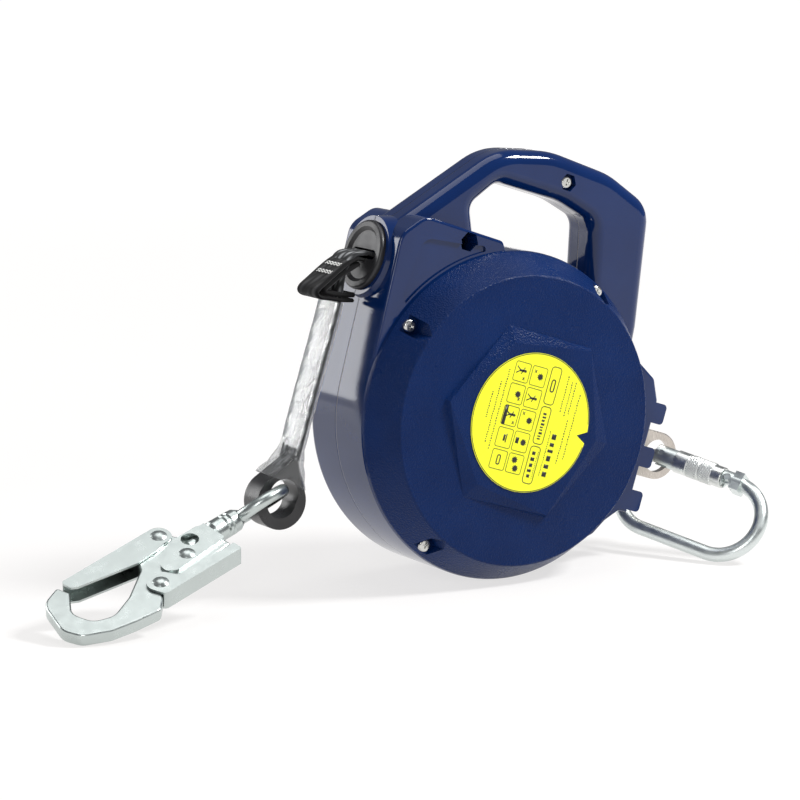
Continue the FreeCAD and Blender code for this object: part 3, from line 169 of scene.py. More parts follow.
def strap_mesh(name, points, width, thickness, closed=False):
    """A strap along a route, its width along the drum axis, with a map that runs along it in metres."""
    section = strap_section(width, thickness)
    frames = route_frames(points)
    if closed:
        count = len(points)
        frames = []
        for index, point in enumerate(points):
            along = (points[(index + 1) % count] - points[index - 1]).normalized()
            frames.append((point, along, DEPTH.cross(along).normalized()))
    vertices = []
    for point, _, normal in frames:
        vertices += [point + DEPTH * across + normal * height for across, height in section]
    columns = len(section)
    faces = grid_faces(len(frames), columns, around=True, closed=closed)
    if not closed:
        faces.append(tuple(range(columns)))
        faces.append(tuple(range((len(frames) - 1) * columns, len(frames) * columns))[::-1])
    mesh = mesh_from(name, vertices, faces)
    travelled = [0.0]
    for before, after in zip(points, points[1:]):
        travelled.append(travelled[-1] + (after - before).length)
    layer = mesh.uv_layers.new(name="along")
    for polygon in mesh.polygons:
        rows = [mesh.loops[index].vertex_index // columns for index in polygon.loop_indices]
        for index in polygon.loop_indices:
            row, column = divmod(mesh.loops[index].vertex_index, columns)
            length = travelled[row]
            if closed and row == 0 and max(rows) > 1:
                length = travelled[-1] + (points[0] - points[-1]).length
            layer.data[index].uv = (length, section[column][0] + width / 2)
    return mesh


def box_mesh(name, placement, size, bevel):
    """A box with rounded edges."""
    maker = bmesh.new()
    bmesh.ops.create_cube(maker, size=1.0, matrix=Matrix.Diagonal((*size, 1)))
    bmesh.ops.bevel(maker, geom=maker.edges[:], offset=bevel, segments=3, affect="EDGES")
    bmesh.ops.transform(maker, matrix=placement, verts=maker.verts[:])
    mesh = bpy.data.meshes.new(name)
    maker.to_mesh(mesh)
    maker.free()
    for polygon in mesh.polygons:
        polygon.use_smooth = True
    return mesh


def joined_mesh(name, meshes):
    """One mesh from several."""
    maker = bmesh.new()
    for mesh in meshes:
        maker.from_mesh(mesh)
        bpy.data.meshes.remove(mesh)
    result = bpy.data.meshes.new(name)
    maker.to_mesh(result)
    maker.free()
    return result


def fix_normals(mesh):
    """Turns every face of a closed mesh outwards."""
    maker = bmesh.new()
    maker.from_mesh(mesh)
    bmesh.ops.recalc_face_normals(maker, faces=maker.faces[:])
    maker.to_mesh(mesh)
    maker.free()


# ---------------------------------------------------------------- material helpers
class Finish:
    """A material's node tree, with short ways to add what the finishes share."""

    def __init__(self, name, color, metallic=0.0, roughness=0.5, specular=0.5):
        self.material = bpy.data.materials.new(name)
        self.material.use_nodes = True
        self.nodes = self.material.node_tree.nodes
        self.links = self.material.node_tree.links
        self.shader = self.nodes["Principled BSDF"]
        self.set("Base Color", (*color, 1))
        self.set("Metallic", metallic)
        self.set("Roughness", roughness)
        self.set("Specular IOR Level", specular)

    def set(self, socket, value):
        """Gives a shader socket an even value."""
        self.shader.inputs[socket].default_value = value

    def add(self, kind, **values):
        """Adds a node."""
        node = self.nodes.new(kind)
        for key, value in values.items():
            setattr(node, key, value)
        return node

    def place(self, uv=False):
        """The place on the piece, in metres."""
        node = self.add("ShaderNodeTexCoord")
        return node.outputs["UV" if uv else "Object"]

    def noise(self, scale, detail=3.0, place=None):
        """Soft cloudy noise, from 0 to 1."""
        node = self.add("ShaderNodeTexNoise")
        node.inputs["Scale"].default_value = scale
        node.inputs["Detail"].default_value = detail
        self.links.new(place or self.place(), node.inputs["Vector"])
        return node.outputs["Fac"]

    def cells(self, scale):
        """Small cells, 0 at their middles."""
        node = self.add("ShaderNodeTexVoronoi")
        node.inputs["Scale"].default_value = scale
        self.links.new(self.place(), node.inputs["Vector"])
        return node.outputs["Distance"]

    def wave(self, scale, direction, place, distortion=0.0):
        """Even bands."""
        node = self.add("ShaderNodeTexWave", bands_direction=direction, wave_profile="SIN")
        node.inputs["Scale"].default_value = scale
        node.inputs["Distortion"].default_value = distortion
        self.links.new(place, node.inputs["Vector"])
        return node.outputs["Fac"]

    def math(self, operation, first, second=0.0):
        """One sum."""
        node = self.add("ShaderNodeMath", operation=operation)
        for socket, value in zip(node.inputs, (first, second)):
            if isinstance(value, (int, float)):
                socket.default_value = value
            else:
                self.links.new(value, socket)
        return node.outputs[0]

    def remap(self, value, low, high, to_low, to_high):
        """Stretches low..high to to_low..to_high."""
        node = self.add("ShaderNodeMapRange")
        for index, number in zip((1, 2, 3, 4), (low, high, to_low, to_high)):
            node.inputs[index].default_value = number
        self.links.new(value, node.inputs[0])
        return node.outputs[0]

    def ramp(self, value, stops):
        """A colour for each value, from (value, colour) stops."""
        node = self.add("ShaderNodeValToRGB")
        while len(node.color_ramp.elements) < len(stops):
            node.color_ramp.elements.new(0.5)
        for element, (position, color) in zip(node.color_ramp.elements, stops):
            element.position = position
            element.color = (*color, 1)
        self.links.new(value, node.inputs[0])
        return node.outputs[0]

    def paint(self, value, stops):
        """Colours the shader by a ramp."""
        self.links.new(self.ramp(value, stops), self.shader.inputs["Base Color"])

    def roughen(self, value, low, high):
        """Varies the roughness between low and high."""
        self.links.new(self.remap(value, 0.3, 0.7, low, high), self.shader.inputs["Roughness"])

    def bump(self, height, distance, strength=1.0):
        """Adds a bump on top of any that is already there."""
        node = self.add("ShaderNodeBump")
        node.inputs["Distance"].default_value = distance
        node.inputs["Strength"].default_value = strength
        self.links.new(height, node.inputs["Height"])
        normal = self.shader.inputs["Normal"]
        if normal.is_linked:
            self.links.new(normal.links[0].from_socket, node.inputs["Normal"])
        self.links.new(node.outputs[0], normal)


def moulded_blue():
    """Navy moulded plastic: grained on the front cone and plateau, glossy on the side walls, with a seam."""
    finish = Finish("shell_blue", (0.002, 0.018, 0.092), roughness=0.3, specular=0.22)
    split = finish.add("ShaderNodeSeparateXYZ")
    finish.links.new(finish.place(), split.inputs[0])
    crease = RIM_FRONT + 25 * MM
    grained = finish.remap(split.outputs[1], crease, crease - 1.5 * MM, 0.03, 1.0)
    grain = finish.noise(1250, 4.0)
    pits = finish.cells(900)
    height = finish.math("MULTIPLY", finish.math("ADD", grain, pits), grained)
    finish.bump(height, 0.3 * MM, 1.0)
    from_seam = finish.math("ABSOLUTE", finish.math("SUBTRACT", split.outputs[1], PARTING))
    finish.bump(finish.remap(from_seam, 0.1 * MM, 0.7 * MM, 0.0, 1.0), 1.0 * MM, 1.0)
    cloud = finish.noise(22, 5.0)
    finish.paint(cloud, [(0.3, (0.001, 0.013, 0.072)), (0.7, (0.0018, 0.018, 0.094))])
    smooth_part = finish.remap(finish.noise(60, 4.0), 0.3, 0.7, 0.07, 0.12)
    roughness = finish.math("ADD", smooth_part, finish.math("MULTIPLY", grained, 0.2))
    finish.links.new(roughness, finish.shader.inputs["Roughness"])
    finish.bump(finish.noise(9, 2.0), 0.25 * MM, 0.5)
    coat = finish.remap(grained, 0.03, 1.0, 0.4, 0.0)
    finish.links.new(coat, finish.shader.inputs["Coat Weight"])
    finish.set("Coat Roughness", 0.06)
    shine = finish.remap(grained, 0.03, 1.0, 0.25, 0.14)
    finish.links.new(shine, finish.shader.inputs["Specular IOR Level"])
    return finish.material


def bright_zinc(name, color, roughness=0.24, grain=0.02):
    """Zinc plated steel: bright, faintly clouded, with fine polishing marks."""
    finish = Finish(name, color, metallic=1.0, roughness=roughness)
    cloud = finish.noise(55, 6.0)
    low = tuple(channel * 0.93 for channel in color)
    finish.paint(cloud, [(0.2, low), (0.8, color)])
    finish.roughen(finish.noise(140, 5.0), roughness * 0.8, roughness * 1.25)
    finish.bump(finish.noise(900, 3.0), grain * MM, 0.5)
    finish.bump(finish.noise(70, 2.0), 0.1 * MM, 0.25)
    return finish.material


def brushed(name, color, roughness=0.35):
    """Steel with a brushed face."""
    finish = Finish(name, color, metallic=1.0, roughness=roughness)
    stretch = finish.add("ShaderNodeMapping")
    stretch.inputs["Scale"].default_value = (1.0, 0.5, 0.04)
    finish.links.new(finish.place(), stretch.inputs[0])
    strokes = finish.noise(2600, 3.0, stretch.outputs[0])
    finish.roughen(strokes, roughness * 0.7, roughness * 1.35)
    finish.bump(strokes, 0.02 * MM, 0.4)
    low = tuple(channel * 0.8 for channel in color)
    finish.paint(finish.noise(40, 5.0), [(0.3, low), (0.7, color)])
    return finish.material


def black_plastic(name, color=(0.012, 0.012, 0.014), roughness=0.38):
    """Moulded black plastic with a fine grain."""
    finish = Finish(name, color, roughness=roughness)
    finish.roughen(finish.noise(90, 4.0), roughness * 0.8, roughness * 1.3)
    finish.bump(finish.noise(1500, 3.0), 0.05 * MM, 0.5)
    high = tuple(channel * 1.7 for channel in color)
    finish.paint(finish.noise(30, 4.0), [(0.3, color), (0.75, high)])
    return finish.material


def film(name, color, roughness=0.32):
    """A printed film, very slightly uneven."""
    finish = Finish(name, color, roughness=roughness)
    low = tuple(channel * 0.94 for channel in color)
    finish.paint(finish.noise(35, 3.0), [(0.3, low), (0.7, color)])
    finish.roughen(finish.noise(80, 4.0), roughness * 0.85, roughness * 1.2)
    finish.bump(finish.noise(300, 2.0), 0.01 * MM, 0.4)
    return finish.material


def woven(name, dark, light, rows=1150.0, picks=760.0):
    """Webbing: a twill of fat yarns along the strap, crossed by leaning picks."""
    finish = Finish(name, dark, roughness=0.85, specular=0.12)
    place = finish.place(uv=True)
    lean = finish.add("ShaderNodeMapping")
    lean.inputs["Rotation"].default_value = (0, 0, math.radians(38))
    finish.links.new(place, lean.inputs[0])
    yarns = finish.wave(rows / 6.2832 / 3.2, "Y", place)
    picks_wave = finish.wave(picks / 6.2832 / 3.2, "X", lean.outputs[0], 0.6)
    weave = finish.math("MULTIPLY", yarns, picks_wave)
    fuzz = finish.noise(3500, 3.0)
    finish.bump(weave, 0.45 * MM, 1.0)
    finish.bump(fuzz, 0.08 * MM, 0.6)
    shade = finish.math("ADD", finish.math("MULTIPLY", weave, 0.85), finish.math("MULTIPLY", fuzz, 0.15))
    finish.paint(shade, [(0.12, dark), (0.75, light)])
    finish.set("Sheen Weight", 0.08)
    finish.set("Sheen Roughness", 0.5)
    return finish.material


def clear_vinyl():
    """The clear wrapping round the strap: mostly see-through, wrinkled, and glossy."""
    finish = Finish("clear_vinyl", (0.93, 0.945, 0.95), roughness=0.1, specular=0.3)
    finish.set("Transmission Weight", 0.93)
    finish.set("IOR", 1.25)
    finish.set("Alpha", 0.5)
    finish.bump(finish.noise(150, 3.0), 0.7 * MM, 0.5)
    finish.bump(finish.noise(45, 2.0), 1.2 * MM, 0.3)
    finish.roughen(finish.noise(60, 2.0), 0.04, 0.12)
    return finish.material


def thread():
    """White sewing thread."""
    finish = Finish("stitch_thread", (0.82, 0.82, 0.8), roughness=0.6)
    finish.bump(finish.noise(4000, 2.0), 0.06 * MM, 0.8)
    finish.paint(finish.noise(700, 3.0), [(0.3, (0.6, 0.6, 0.58)), (0.7, (0.86, 0.86, 0.84))])
    finish.set("Sheen Weight", 0.3)
    return finish.material


def cast(name, color, metallic=1.0, roughness=0.5):
    """A dull cast or moulded surface."""
    finish = Finish(name, color, metallic=metallic, roughness=roughness)
    finish.roughen(finish.noise(120, 5.0), roughness * 0.8, roughness * 1.2)
    finish.bump(finish.noise(600, 4.0), 0.08 * MM, 0.6)
    low = tuple(channel * 0.75 for channel in color)
    finish.paint(finish.noise(50, 5.0), [(0.3, low), (0.7, color)])
    return finish.material


MATERIALS = {
    "shell_blue": moulded_blue(),
    "screw_steel": bright_zinc("screw_steel", (0.62, 0.62, 0.6), 0.22),
    "label_yellow": film("label_yellow", (0.93, 0.95, 0.015)),
    "guide_black": black_plastic("guide_black"),
    "frame_steel": brushed("frame_steel", (0.55, 0.55, 0.56)),
    "stainless": brushed("stainless", (0.62, 0.57, 0.52), 0.3),
    "bolt_zinc": bright_zinc("bolt_zinc", (0.6, 0.6, 0.55)),
    "shaft_steel": brushed("shaft_steel", (0.5, 0.5, 0.5), 0.25),
    "drum_alloy": cast("drum_alloy", (0.6, 0.6, 0.6)),
    "webbing_grey": woven("webbing_grey", (0.02, 0.021, 0.023), (0.3, 0.31, 0.32)),
    "bearing_bronze": cast("bearing_bronze", (0.5, 0.34, 0.14), 1.0, 0.4),
    "spring_steel": brushed("spring_steel", (0.36, 0.36, 0.38), 0.3),
    "pawl_steel": brushed("pawl_steel", (0.45, 0.45, 0.45)),
    "ratchet_iron": cast("ratchet_iron", (0.2, 0.2, 0.21), 1.0, 0.55),
    "lining": cast("lining", (0.12, 0.08, 0.06), 0.0, 0.85),
    "case_zinc": bright_zinc("case_zinc", (0.6, 0.6, 0.6), 0.35),
    "thimble_black": black_plastic("thimble_black", (0.014, 0.014, 0.015), 0.3),
    "bundle_black": woven("bundle_black", (0.003, 0.003, 0.0035), (0.02, 0.02, 0.022), 800.0, 520.0),
    "clear_sleeve": clear_vinyl(),
    "hook_zinc": bright_zinc("hook_zinc", (0.53, 0.58, 0.565), 0.3),
    "carabiner_zinc": bright_zinc("carabiner_zinc", (0.72, 0.77, 0.76), 0.36),
    "sleeve_knurled": bright_zinc("sleeve_knurled", (0.76, 0.78, 0.76), 0.3),
}

for row in frame["record"]["subparts"]:
    node = nodes[row["node"]]
    node.data.materials.clear()
    node.data.materials.append(MATERIALS[row["material_slot"]])


# ---------------------------------------------------------------- camera, light and floor
def make_camera():
    """The camera stands in front and to the left, looking slightly down at the unit."""
    camera = bpy.data.objects.new("camera", bpy.data.cameras.new("camera"))
    bpy.context.scene.collection.objects.link(camera)
    heading, dip, distance = math.radians(31.3), math.radians(9.9), 2.2
    target = Vector((DRUM.x - 70.6 * MM, RIM_FRONT + 45.7 * MM, DRUM.z + 14.2 * MM))
    ahead = Vector((math.sin(heading) * math.cos(dip), math.cos(heading) * math.cos(dip), -math.sin(dip)))
    camera.location = target - ahead * distance
    camera.rotation_euler = (math.pi / 2 - dip, 0, -heading)
    camera.data.sensor_width = 36
    camera.data.lens = 148.5
    bpy.context.scene.camera = camera


def area_light(name, place, target, size, power):
    """A white soft box that faces the target."""
    data = bpy.data.lights.new(name, "AREA")
    data.shape = "RECTANGLE"
    data.size, data.size_y = size
    data.energy = power
    light = bpy.data.objects.new(name, data)
    bpy.context.scene.collection.objects.link(light)
    light.location = place
    light.rotation_euler = (Vector(target) - Vector(place)).to_track_quat("-Z", "Y").to_euler()


def make_floor():
    """A white studio floor that glows a little, so that it stays pale into the distance."""
    reach = 30
    corners = [(-reach, -reach, 0), (reach, -reach, 0), (reach, reach, 0), (-reach, reach, 0)]
    mesh = mesh_from("floor", corners, [(0, 1, 2, 3)])
    floor = bpy.data.objects.new("floor", mesh)
    bpy.context.scene.collection.objects.link(floor)
    finish = Finish("floor_paper", (0.25, 0.247, 0.245), roughness=0.6, specular=0.2)
    finish.roughen(finish.noise(3, 2.0), 0.55, 0.65)
    finish.set("Emission Color", (1.0, 0.985, 0.975, 1))
    away = finish.add("ShaderNodeVectorMath", operation="LENGTH")
    finish.links.new(finish.place(), away.inputs[0])
    glow = finish.remap(away.outputs["Value"], 0.5, 3.0, 0.7, 0.97)
    finish.links.new(glow, finish.shader.inputs["Emission Strength"])
    floor.data.materials.append(finish.material)


def make_room():
    """A dim even surround, so that the soft boxes and the floor show in the glossy parts."""
    world = bpy.data.worlds.new("surround")
    bpy.context.scene.world = world
    world.use_nodes = True
    background = world.node_tree.nodes["Background"]
    background.inputs[0].default_value = (0.93, 0.95, 1, 1)
    background.inputs[1].default_value = 0.2
    bpy.context.scene.view_settings.view_transform = "Standard"
    make_floor()
    area_light("overhead", (-0.1, 0.2, 2.0), (-0.1, 0, 0), (1.4, 1.4), 12)
    area_light("front_left", (-1.3, -1.5, 0.9), (-0.05, 0, 0.13), (0.35, 0.9), 9)
    area_light("back_left", (-1.5, 1.7, 0.75), (-0.1, 0, 0.1), (1.1, 1.3), 20)
    area_light("upper_right", (1.15, -0.85, 1.75), (0.02, 0, 0.15), (0.5, 0.5), 58)


make_camera()
make_room()


# ---------------------------------------------------------------- the lifeline's end
STRAP_ROUTE = [(-91.3, 225.7), (-99.5, 226.2), (-106, 224), (-111.5, 214), (-114, 199), (-117.5, 186),
               (-126, 160), (-138, 123), (-143, 106), (-147.5, 92)]
SLEEVE_FOOT = (-154.3, 77.7)
EYE_CLOSES = (-144.3, 99.4)                      # where the sewn eye's two legs meet
EYE_CENTRE = (-158.5, 65)                        # the middle of the thimble
FOLD_ROUTE = [(-96.8, 221.5), (-101, 223.2), (-106, 222), (-114, 217.5), (-126, 208.7), (-132, 204.6),
              (-133, 201.6), (-130, 199), (-123, 198.3), (-114, 196), (-105.5, 195.5)]
FOLD_INNER_ROUTE = [(-100.5, 219.5), (-112, 214.5), (-123, 207), (-128, 203.2), (-124, 201.6), (-113, 199.6),
                    (-104.5, 199)]


def hanging_point(x, z):
    """A point of the strap's route, given in millimetres from the foot of the drum axis."""
    return Vector((DRUM.x + x * MM, PARTING, z * MM))


def lifeline_strap():
    """The webbing from the guide's mouth to its sewn eye."""
    points = spline_points([hanging_point(x, z) for x, z in STRAP_ROUTE], 150)
    mesh = strap_mesh("lifeline_strap", points, WEBBING_WIDTH, WEBBING_THICKNESS)
    piece = add_piece("lifeline_strap", mesh, "lifeline", MATERIALS["webbing_grey"])
    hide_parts("lifeline_webbing")
    length = sum((after - before).length for before, after in zip(points, points[1:]))
    return piece, points, length


strap, strap_points, strap_length = lifeline_strap()


def strap_turn(point, along):
    """A placement on the strap: its X runs along it, its Y across, its Z out of its hidden face."""
    return Matrix.Translation(point) @ Matrix((along, DEPTH, along.cross(DEPTH))).transposed().to_4x4()


def stitch_rows(name, frames, half_width, lift, count, length=2.2 * MM, zigzag=0.0):
    """Rows of raised thread stitches across a strap, one row for each frame."""
    meshes = []
    for point, along, normal in frames:
        for step in range(count):
            across = half_width * (-1 + 2 * (step + 0.5) / count)
            spot = strap_turn(point + DEPTH * across + normal * lift, along)
            spot = spot @ Matrix.Rotation(zigzag if step % 2 else -zigzag, 4, "Z")
            meshes.append(box_mesh("stitch", spot, (0.8 * MM, length, 0.7 * MM), 0.3 * MM))
    return add_piece(name, joined_mesh(name, meshes), "lifeline", THREAD)


def stitch_lines(name, frames, places, lift, length=2.6 * MM):
    """Lines of stitches that run along a strap, at the given places across it."""
    meshes = []
    for point, along, normal in frames:
        for across in places:
            spot = strap_turn(point + DEPTH * across + normal * lift, along)
            meshes.append(box_mesh("stitch", spot, (length, 0.7 * MM, 0.6 * MM), 0.25 * MM))
    return add_piece(name, joined_mesh(name, meshes), "lifeline", THREAD)


THREAD = thread()
INK = film("ink_black", (0.012, 0.012, 0.012), 0.4)


def fold_bundle():
    """The folded stop at the nozzle: the black strap runs out from the guide, folds and comes back."""
    low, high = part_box("fold_bundle")
    points = spline_points([hanging_point(x, z) for x, z in FOLD_ROUTE], 90)
    outer = strap_mesh("fold_outer", points, high.y - low.y - 0.4 * MM, 2.5 * MM)
    inner_points = spline_points([hanging_point(x, z) for x, z in FOLD_INNER_ROUTE], 60)
    inner = strap_mesh("fold_inner", inner_points, high.y - low.y - 1.4 * MM, 3.2 * MM)
    mesh = joined_mesh("fold_bundle_cloth", [outer, inner])
    piece = add_piece("fold_bundle_cloth", mesh, "lifeline", MATERIALS["bundle_black"])
    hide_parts("fold_bundle")
    frames = route_frames(points)
    rows = [frames[index] for index in (20, 22, 30, 32)]
    stitch_rows("fold_stitches", rows, 9 * MM, 1.35 * MM, 9, 2.6 * MM, math.radians(32))
    return piece


def sewn_eye():
    """The webbing's end, folded round the thimble inside its channel and sewn back on itself."""
    low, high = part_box("webbing_eye")
    centre, tip = hanging_point(*EYE_CENTRE), hanging_point(*EYE_CLOSES)
    radius = 14.4 * MM
    toward = tip - centre
    start = math.acos(radius / toward.length)
    base = math.atan2(toward.z, toward.x)
    points = []
    steps = 60
    for step in range(steps + 1):
        angle = base + start + (2 * math.pi - 2 * start) * step / steps
        points.append(centre + Vector((math.cos(angle), 0, math.sin(angle))) * radius)
    legs = 12
    closing = tip - toward.normalized() * 3 * MM
    first = points[0].copy()
    points += [points[steps].lerp(closing, step / legs) for step in range(1, legs)]
    points += [first.lerp(closing, step / legs) for step in range(legs - 1, 0, -1)]
    mesh = strap_mesh("sewn_eye", points, high.y - low.y - 0.3 * MM, 2.1 * MM, closed=True)
    piece = add_piece("sewn_eye", mesh, "lifeline", MATERIALS["webbing_grey"])
    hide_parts("webbing_eye")
    return piece


def sleeve_frames():
    """Places along the clear wrapping, from just under the fold to its foot over the thimble."""
    route = STRAP_ROUTE[3:] + [SLEEVE_FOOT]
    points = spline_points([hanging_point(x, z) for x, z in route], 170)
    top = 195.5 * MM
    return route_frames([point for point in points if point.z < top])


def sleeve_half(point):
    """Half the wrapping's thickness: snug on the webbing, then widening over the thimble."""
    reach = (hanging_point(*EYE_CLOSES) - hanging_point(*EYE_CENTRE)).length
    spread = math.tan(math.asin(18.4 * MM / reach))
    return max(3.1 * MM, spread * (reach - (point - hanging_point(*EYE_CENTRE)).length) + 3.0 * MM)


def sleeve_shell():
    """The clear wrapping: a flattened, crumpled tube round the strap that flares over the sewn eye."""
    frames = sleeve_frames()
    around = 64
    wall = 0.5 * MM
    half = WEBBING_WIDTH / 2 + 2.3 * MM
    vertices = []
    for layer in (0.0, wall):
        for index, (point, _, normal) in enumerate(frames):
            share = index / (len(frames) - 1)
            thick = sleeve_half(point)
            flare = min(1.0, max(0.0, (thick - 3.2 * MM) / (8 * MM)))
            narrow = 1 - 0.12 * flare
            for step in range(around):
                angle = 2 * math.pi * step / around
                crumple = (math.sin(share * 37 + 3 * math.sin(angle)) + math.sin(share * 61 + 5 * angle)) / 2
                crumple *= (0.22 + 0.55 * flare) * MM
                across = math.copysign(abs(math.cos(angle)) ** 0.4, math.cos(angle)) * (half * narrow - layer)
                height = math.copysign(abs(math.sin(angle)) ** 0.7, math.sin(angle))
                height *= thick - 0.5 * MM + crumple - layer
                vertices.append(point + DEPTH * across + normal * height)
    rows = len(frames)
    outer = grid_faces(rows, around, around=True)
    inner = [tuple(index + rows * around for index in face[::-1]) for face in outer]
    faces = outer + inner
    for row in (0, rows - 1):
        for step in range(around):
            after = (step + 1) % around
            quad = (row * around + step, row * around + after,
                    (rows + row) * around + after, (rows + row) * around + step)
            faces.append(quad[::-1] if row == 0 else quad)
    mesh = mesh_from("sleeve_film", vertices, faces)
    fix_normals(mesh)
    piece = add_piece("sleeve_film", mesh, "lifeline", MATERIALS["clear_sleeve"])
    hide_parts("clear_sleeve")
    return piece


def sleeve_insert():
    """The printed care slip under the clear wrapping on its far half, with plain ruled lines."""
    frames = [row for row in sleeve_frames() if row[0].z > 104 * MM]
    far_edge, slip_width, lift = WEBBING_WIDTH / 2 + 0.4 * MM, 12.5 * MM, 1.75 * MM
    columns = 7
    vertices = []
    for point, _, normal in frames:
        for column in range(columns):
            across = far_edge - slip_width * column / (columns - 1)
            vertices.append(point + DEPTH * across + normal * lift)
    slip = mesh_from("sleeve_slip", vertices, grid_faces(len(frames), columns))
    paper = film("slip_paper", (0.34, 0.355, 0.36), 0.35)
    piece = add_piece("sleeve_slip", slip, "lifeline", paper)
    solid = piece.modifiers.new("thickness", "SOLIDIFY")
    solid.thickness = 0.15 * MM
    meshes = []
    for row, (point, along, normal) in enumerate(frames[4:-4:5]):
        long = (6 if row % 2 else 8) * MM
        spot = strap_turn(point + DEPTH * (far_edge - slip_width / 2) + normal * (lift + 0.12 * MM), along)
        meshes.append(box_mesh("rule", spot, (0.5 * MM, long, 0.1 * MM), 0.03 * MM))
    add_piece("sleeve_slip_rules", joined_mesh("sleeve_slip_rules", meshes), "lifeline",
              film("slip_ink", (0.3, 0.31, 0.32), 0.4))
    seam = route_frames(strap_points)[40:-4:3]
    stitch_lines("webbing_stitches", seam, (-9.6 * MM, -1.2 * MM), 1.35 * MM)
    return piece


fold_bundle()
sewn_eye()
sleeve_shell()
sleeve_insert()


# ---------------------------------------------------------------- knurled sleeve
def knurled_sleeve():
    """The locking sleeve: a smooth collar, two bands of diamond knurl with a fine groove, a smooth end."""
    hinge = joint_place("carabiner_gate_swing")
    along = joint_axis("locking_sleeve_twist")
    side = joint_axis("carabiner_gate_swing")
    other = side.cross(along)
    start, length, outer, bore = 11.2 * MM, 37.9 * MM, 8.2 * MM, 4.9 * MM
    collar_end, groove, knurl_end = 10.5 * MM, 20.2 * MM, 30 * MM
    around, diamonds, rows = 192, 34, 191

    def radius_at(place, angle):
        if min(place, length - place) < 0.3 * MM:
            return outer - 0.8 * MM
        if place < collar_end:
            return outer - 0.1 * MM
        if abs(place - collar_end) < 0.4 * MM or abs(place - groove) < 0.4 * MM:
            return outer - 0.8 * MM
        if place > knurl_end:
            return outer - 0.7 * MM
        turn = place / outer * diamonds
        waves = abs(math.sin((angle * diamonds + turn) / 2)) * abs(math.sin((angle * diamonds - turn) / 2))
        return outer - 0.5 * MM + 0.5 * MM * waves

    def spot(place, angle, radius):
        return hinge + along * (start + place) + (side * math.cos(angle) + other * math.sin(angle)) * radius

    angles = [2 * math.pi * step / around for step in range(around)]
    vertices = []
    for row in range(rows):
        place = length * row / (rows - 1)
        vertices += [spot(place, angle, radius_at(place, angle)) for angle in angles]
    for place in (length, 0):
        vertices += [spot(place, angle, bore) for angle in angles]
    mesh = mesh_from("knurled_sleeve", vertices, grid_faces(rows + 2, around, around=True, closed=True))
    fix_normals(mesh)
    piece = add_piece("knurled_sleeve", mesh, "sleeve", MATERIALS["sleeve_knurled"])
    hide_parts("locking_sleeve")
    return piece


knurled_sleeve()


# ---------------------------------------------------------------- label print
class Print:
    """Thin flat marks on the round plate, placed in millimetres from its middle."""

    def __init__(self):
        self.face = -5.5 * MM - 0.04 * MM
        self.meshes = []

    def turned(self, x, z, turn=0.0):
        """A placement in the plate's face, turned about the drum axis."""
        return UNIT @ Matrix.Translation((x * MM, self.face, z * MM)) @ Matrix.Rotation(turn, 4, "Y")

    def bar(self, x, z, width, height, turn=0.0):
        """A small flat bar."""
        size = (width * MM, 0.1 * MM, height * MM)
        self.meshes.append(box_mesh("bar", self.turned(x, z, turn), size, 0.03 * MM))

    def loop_faces(self, count):
        """Faces between an outer loop of corners and an inner one."""
        return [(step, count + step, count + (step + 1) % count, (step + 1) % count) for step in range(count)]

    def outline(self, points, closed_faces):
        """A flat shape from points in the plate's plane."""
        vertices = [UNIT @ Vector((x * MM, self.face - 0.04 * MM, z * MM)) for x, z in points]
        self.meshes.append(mesh_from("mark", vertices, closed_faces, smooth=False))

    def burst(self, x, z, radius, points=10):
        """A round spot with short spikes."""
        corners = []
        for step in range(2 * points):
            reach = radius if step % 2 else radius * 0.62
            angle = math.pi * step / points
            corners.append((x + reach * math.cos(angle), z + reach * math.sin(angle)))
        self.outline(corners, [tuple(range(2 * points))[::-1]])

    def panel(self, x, z, width, height, corner, line=0.42):
        """A thin rounded rectangle."""
        corners = []
        steps = 6
        for inset in (0, line):
            for index, (side_x, side_z) in enumerate(((1, 1), (-1, 1), (-1, -1), (1, -1))):
                for step in range(steps + 1):
                    angle = math.pi / 2 * (index + step / steps)
                    corners.append((x + side_x * (width / 2 - corner) + (corner - inset) * math.cos(angle),
                                    z + side_z * (height / 2 - corner) + (corner - inset) * math.sin(angle)))
        self.outline(corners, self.loop_faces(len(corners) // 2))

    def figure(self, x, z):
        """A small plain stick figure."""
        self.burst(x + 2.6, z, 1.2)
        self.bar(x, z, 4.4, 1.5)
        self.bar(x - 3.2, z + 1.3, 3.4, 0.7, 0.6)
        self.bar(x - 3.2, z - 1.3, 3.4, 0.7, -0.6)
        self.bar(x + 0.6, z, 0.7, 5.0, 0.4)

    def dashes(self, x, low, high, weight, longest):
        """A column of short marks in place of a line of print."""
        z = low
        while z < high:
            dash = random.uniform(0.5, 1.0) * longest
            middle = x + random.uniform(-0.2, 0.2)
            self.bar(middle, z + dash / 2, weight * random.uniform(0.7, 1.0), dash * 0.8)
            z += dash + 0.35 * longest


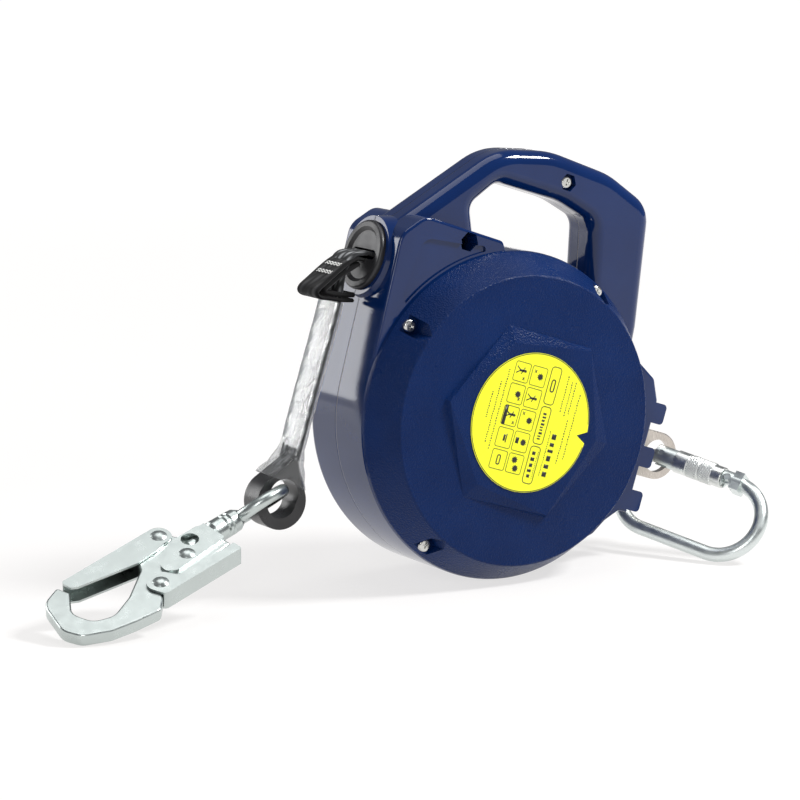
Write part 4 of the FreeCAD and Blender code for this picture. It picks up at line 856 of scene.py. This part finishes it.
def label_marks(marks):
    """Two columns of boxed pictograms, three rounded panels, a bold column and fine print."""
    rows = (31, 16, 1, -14, -29)
    left, right = -17.5, -3.7
    for z in rows:
        marks.panel(left, z, 12.5, 13.5, 1.6)
        marks.panel(right, z, 12.5, 13.5, 1.6)
    spots = ((left + 1.5, 16), (right + 1.5, 31), (right + 2, 1), (right + 2, -14), (right - 1, -26.5),
             (right + 1, -32))
    for x, z in spots:
        marks.burst(x, z, 2.7)
    marks.figure(left, 32)
    marks.figure(right, 16)
    marks.figure(left + 0.5, 2)
    marks.bar(left - 4.2, 1, 2.6, 12.6)
    marks.bar(left, -14, 1.6, 4.2)
    marks.bar(left + 1.6, -14, 0.8, 6)
    marks.bar(right - 3.2, -13.5, 2.6, 4)
    marks.panel(left, -29, 3.2, 7, 1.4, 0.8)
    for x, z in ((left + 3, 13), (right - 3, 34), (right - 3.5, 5), (left + 3.5, -3), (left + 2.5, 27)):
        marks.bar(x, z, 0.5, 2.6, 0.7)
        marks.bar(x, z, 0.5, 2.6, -0.7)
    for z in (27.6, 0.3, -27):
        marks.panel(9.5, z, 8.6, 26, 2.6, 0.55)
    marks.panel(9.5, 27.6, 3.6, 9, 1.7, 0.9)
    marks.dashes(9.5, -9.5, 9.5, 3.0, 1.9)
    marks.dashes(9.0, -36, -17, 3.2, 3.2)
    marks.dashes(12.2, -36, -17, 0.6, 1.2)
    marks.dashes(21.5, -33, -4, 4.6, 4.6)
    marks.dashes(17.6, -33, -2, 0.7, 1.1)
    fine_print = ((24.5, 10, 33), (27.5, 12, 34), (28.6, -22, 8), (33.0, -18, 26), (20.5, 12, 36),
                  (-27.5, -24, 30), (-31.5, -20, 22), (-36, -4, 14))
    for x, low, high in fine_print:
        marks.dashes(x, low, high, 0.9, 1.5)


def label_print():
    """Plain print on the round plate, with no lettering."""
    random.seed(4)
    marks = Print()
    label_marks(marks)
    steps, line_out, line_in, notch = 128, 46.7, 46.2, 9
    corners = []
    for radius in (line_out, line_in):
        for step in range(steps):
            angle = 2 * math.pi * step / steps
            corners.append((radius * math.cos(angle), radius * math.sin(angle)))
    faces = []
    for step in range(steps):
        if notch < 360 * step / steps < 360 - notch:
            after = (step + 1) % steps
            faces.append((step, steps + step, steps + after, after))
    marks.outline(corners, faces)
    return add_piece("label_print", joined_mesh("label_print", marks.meshes), "housing", INK)


label_print()
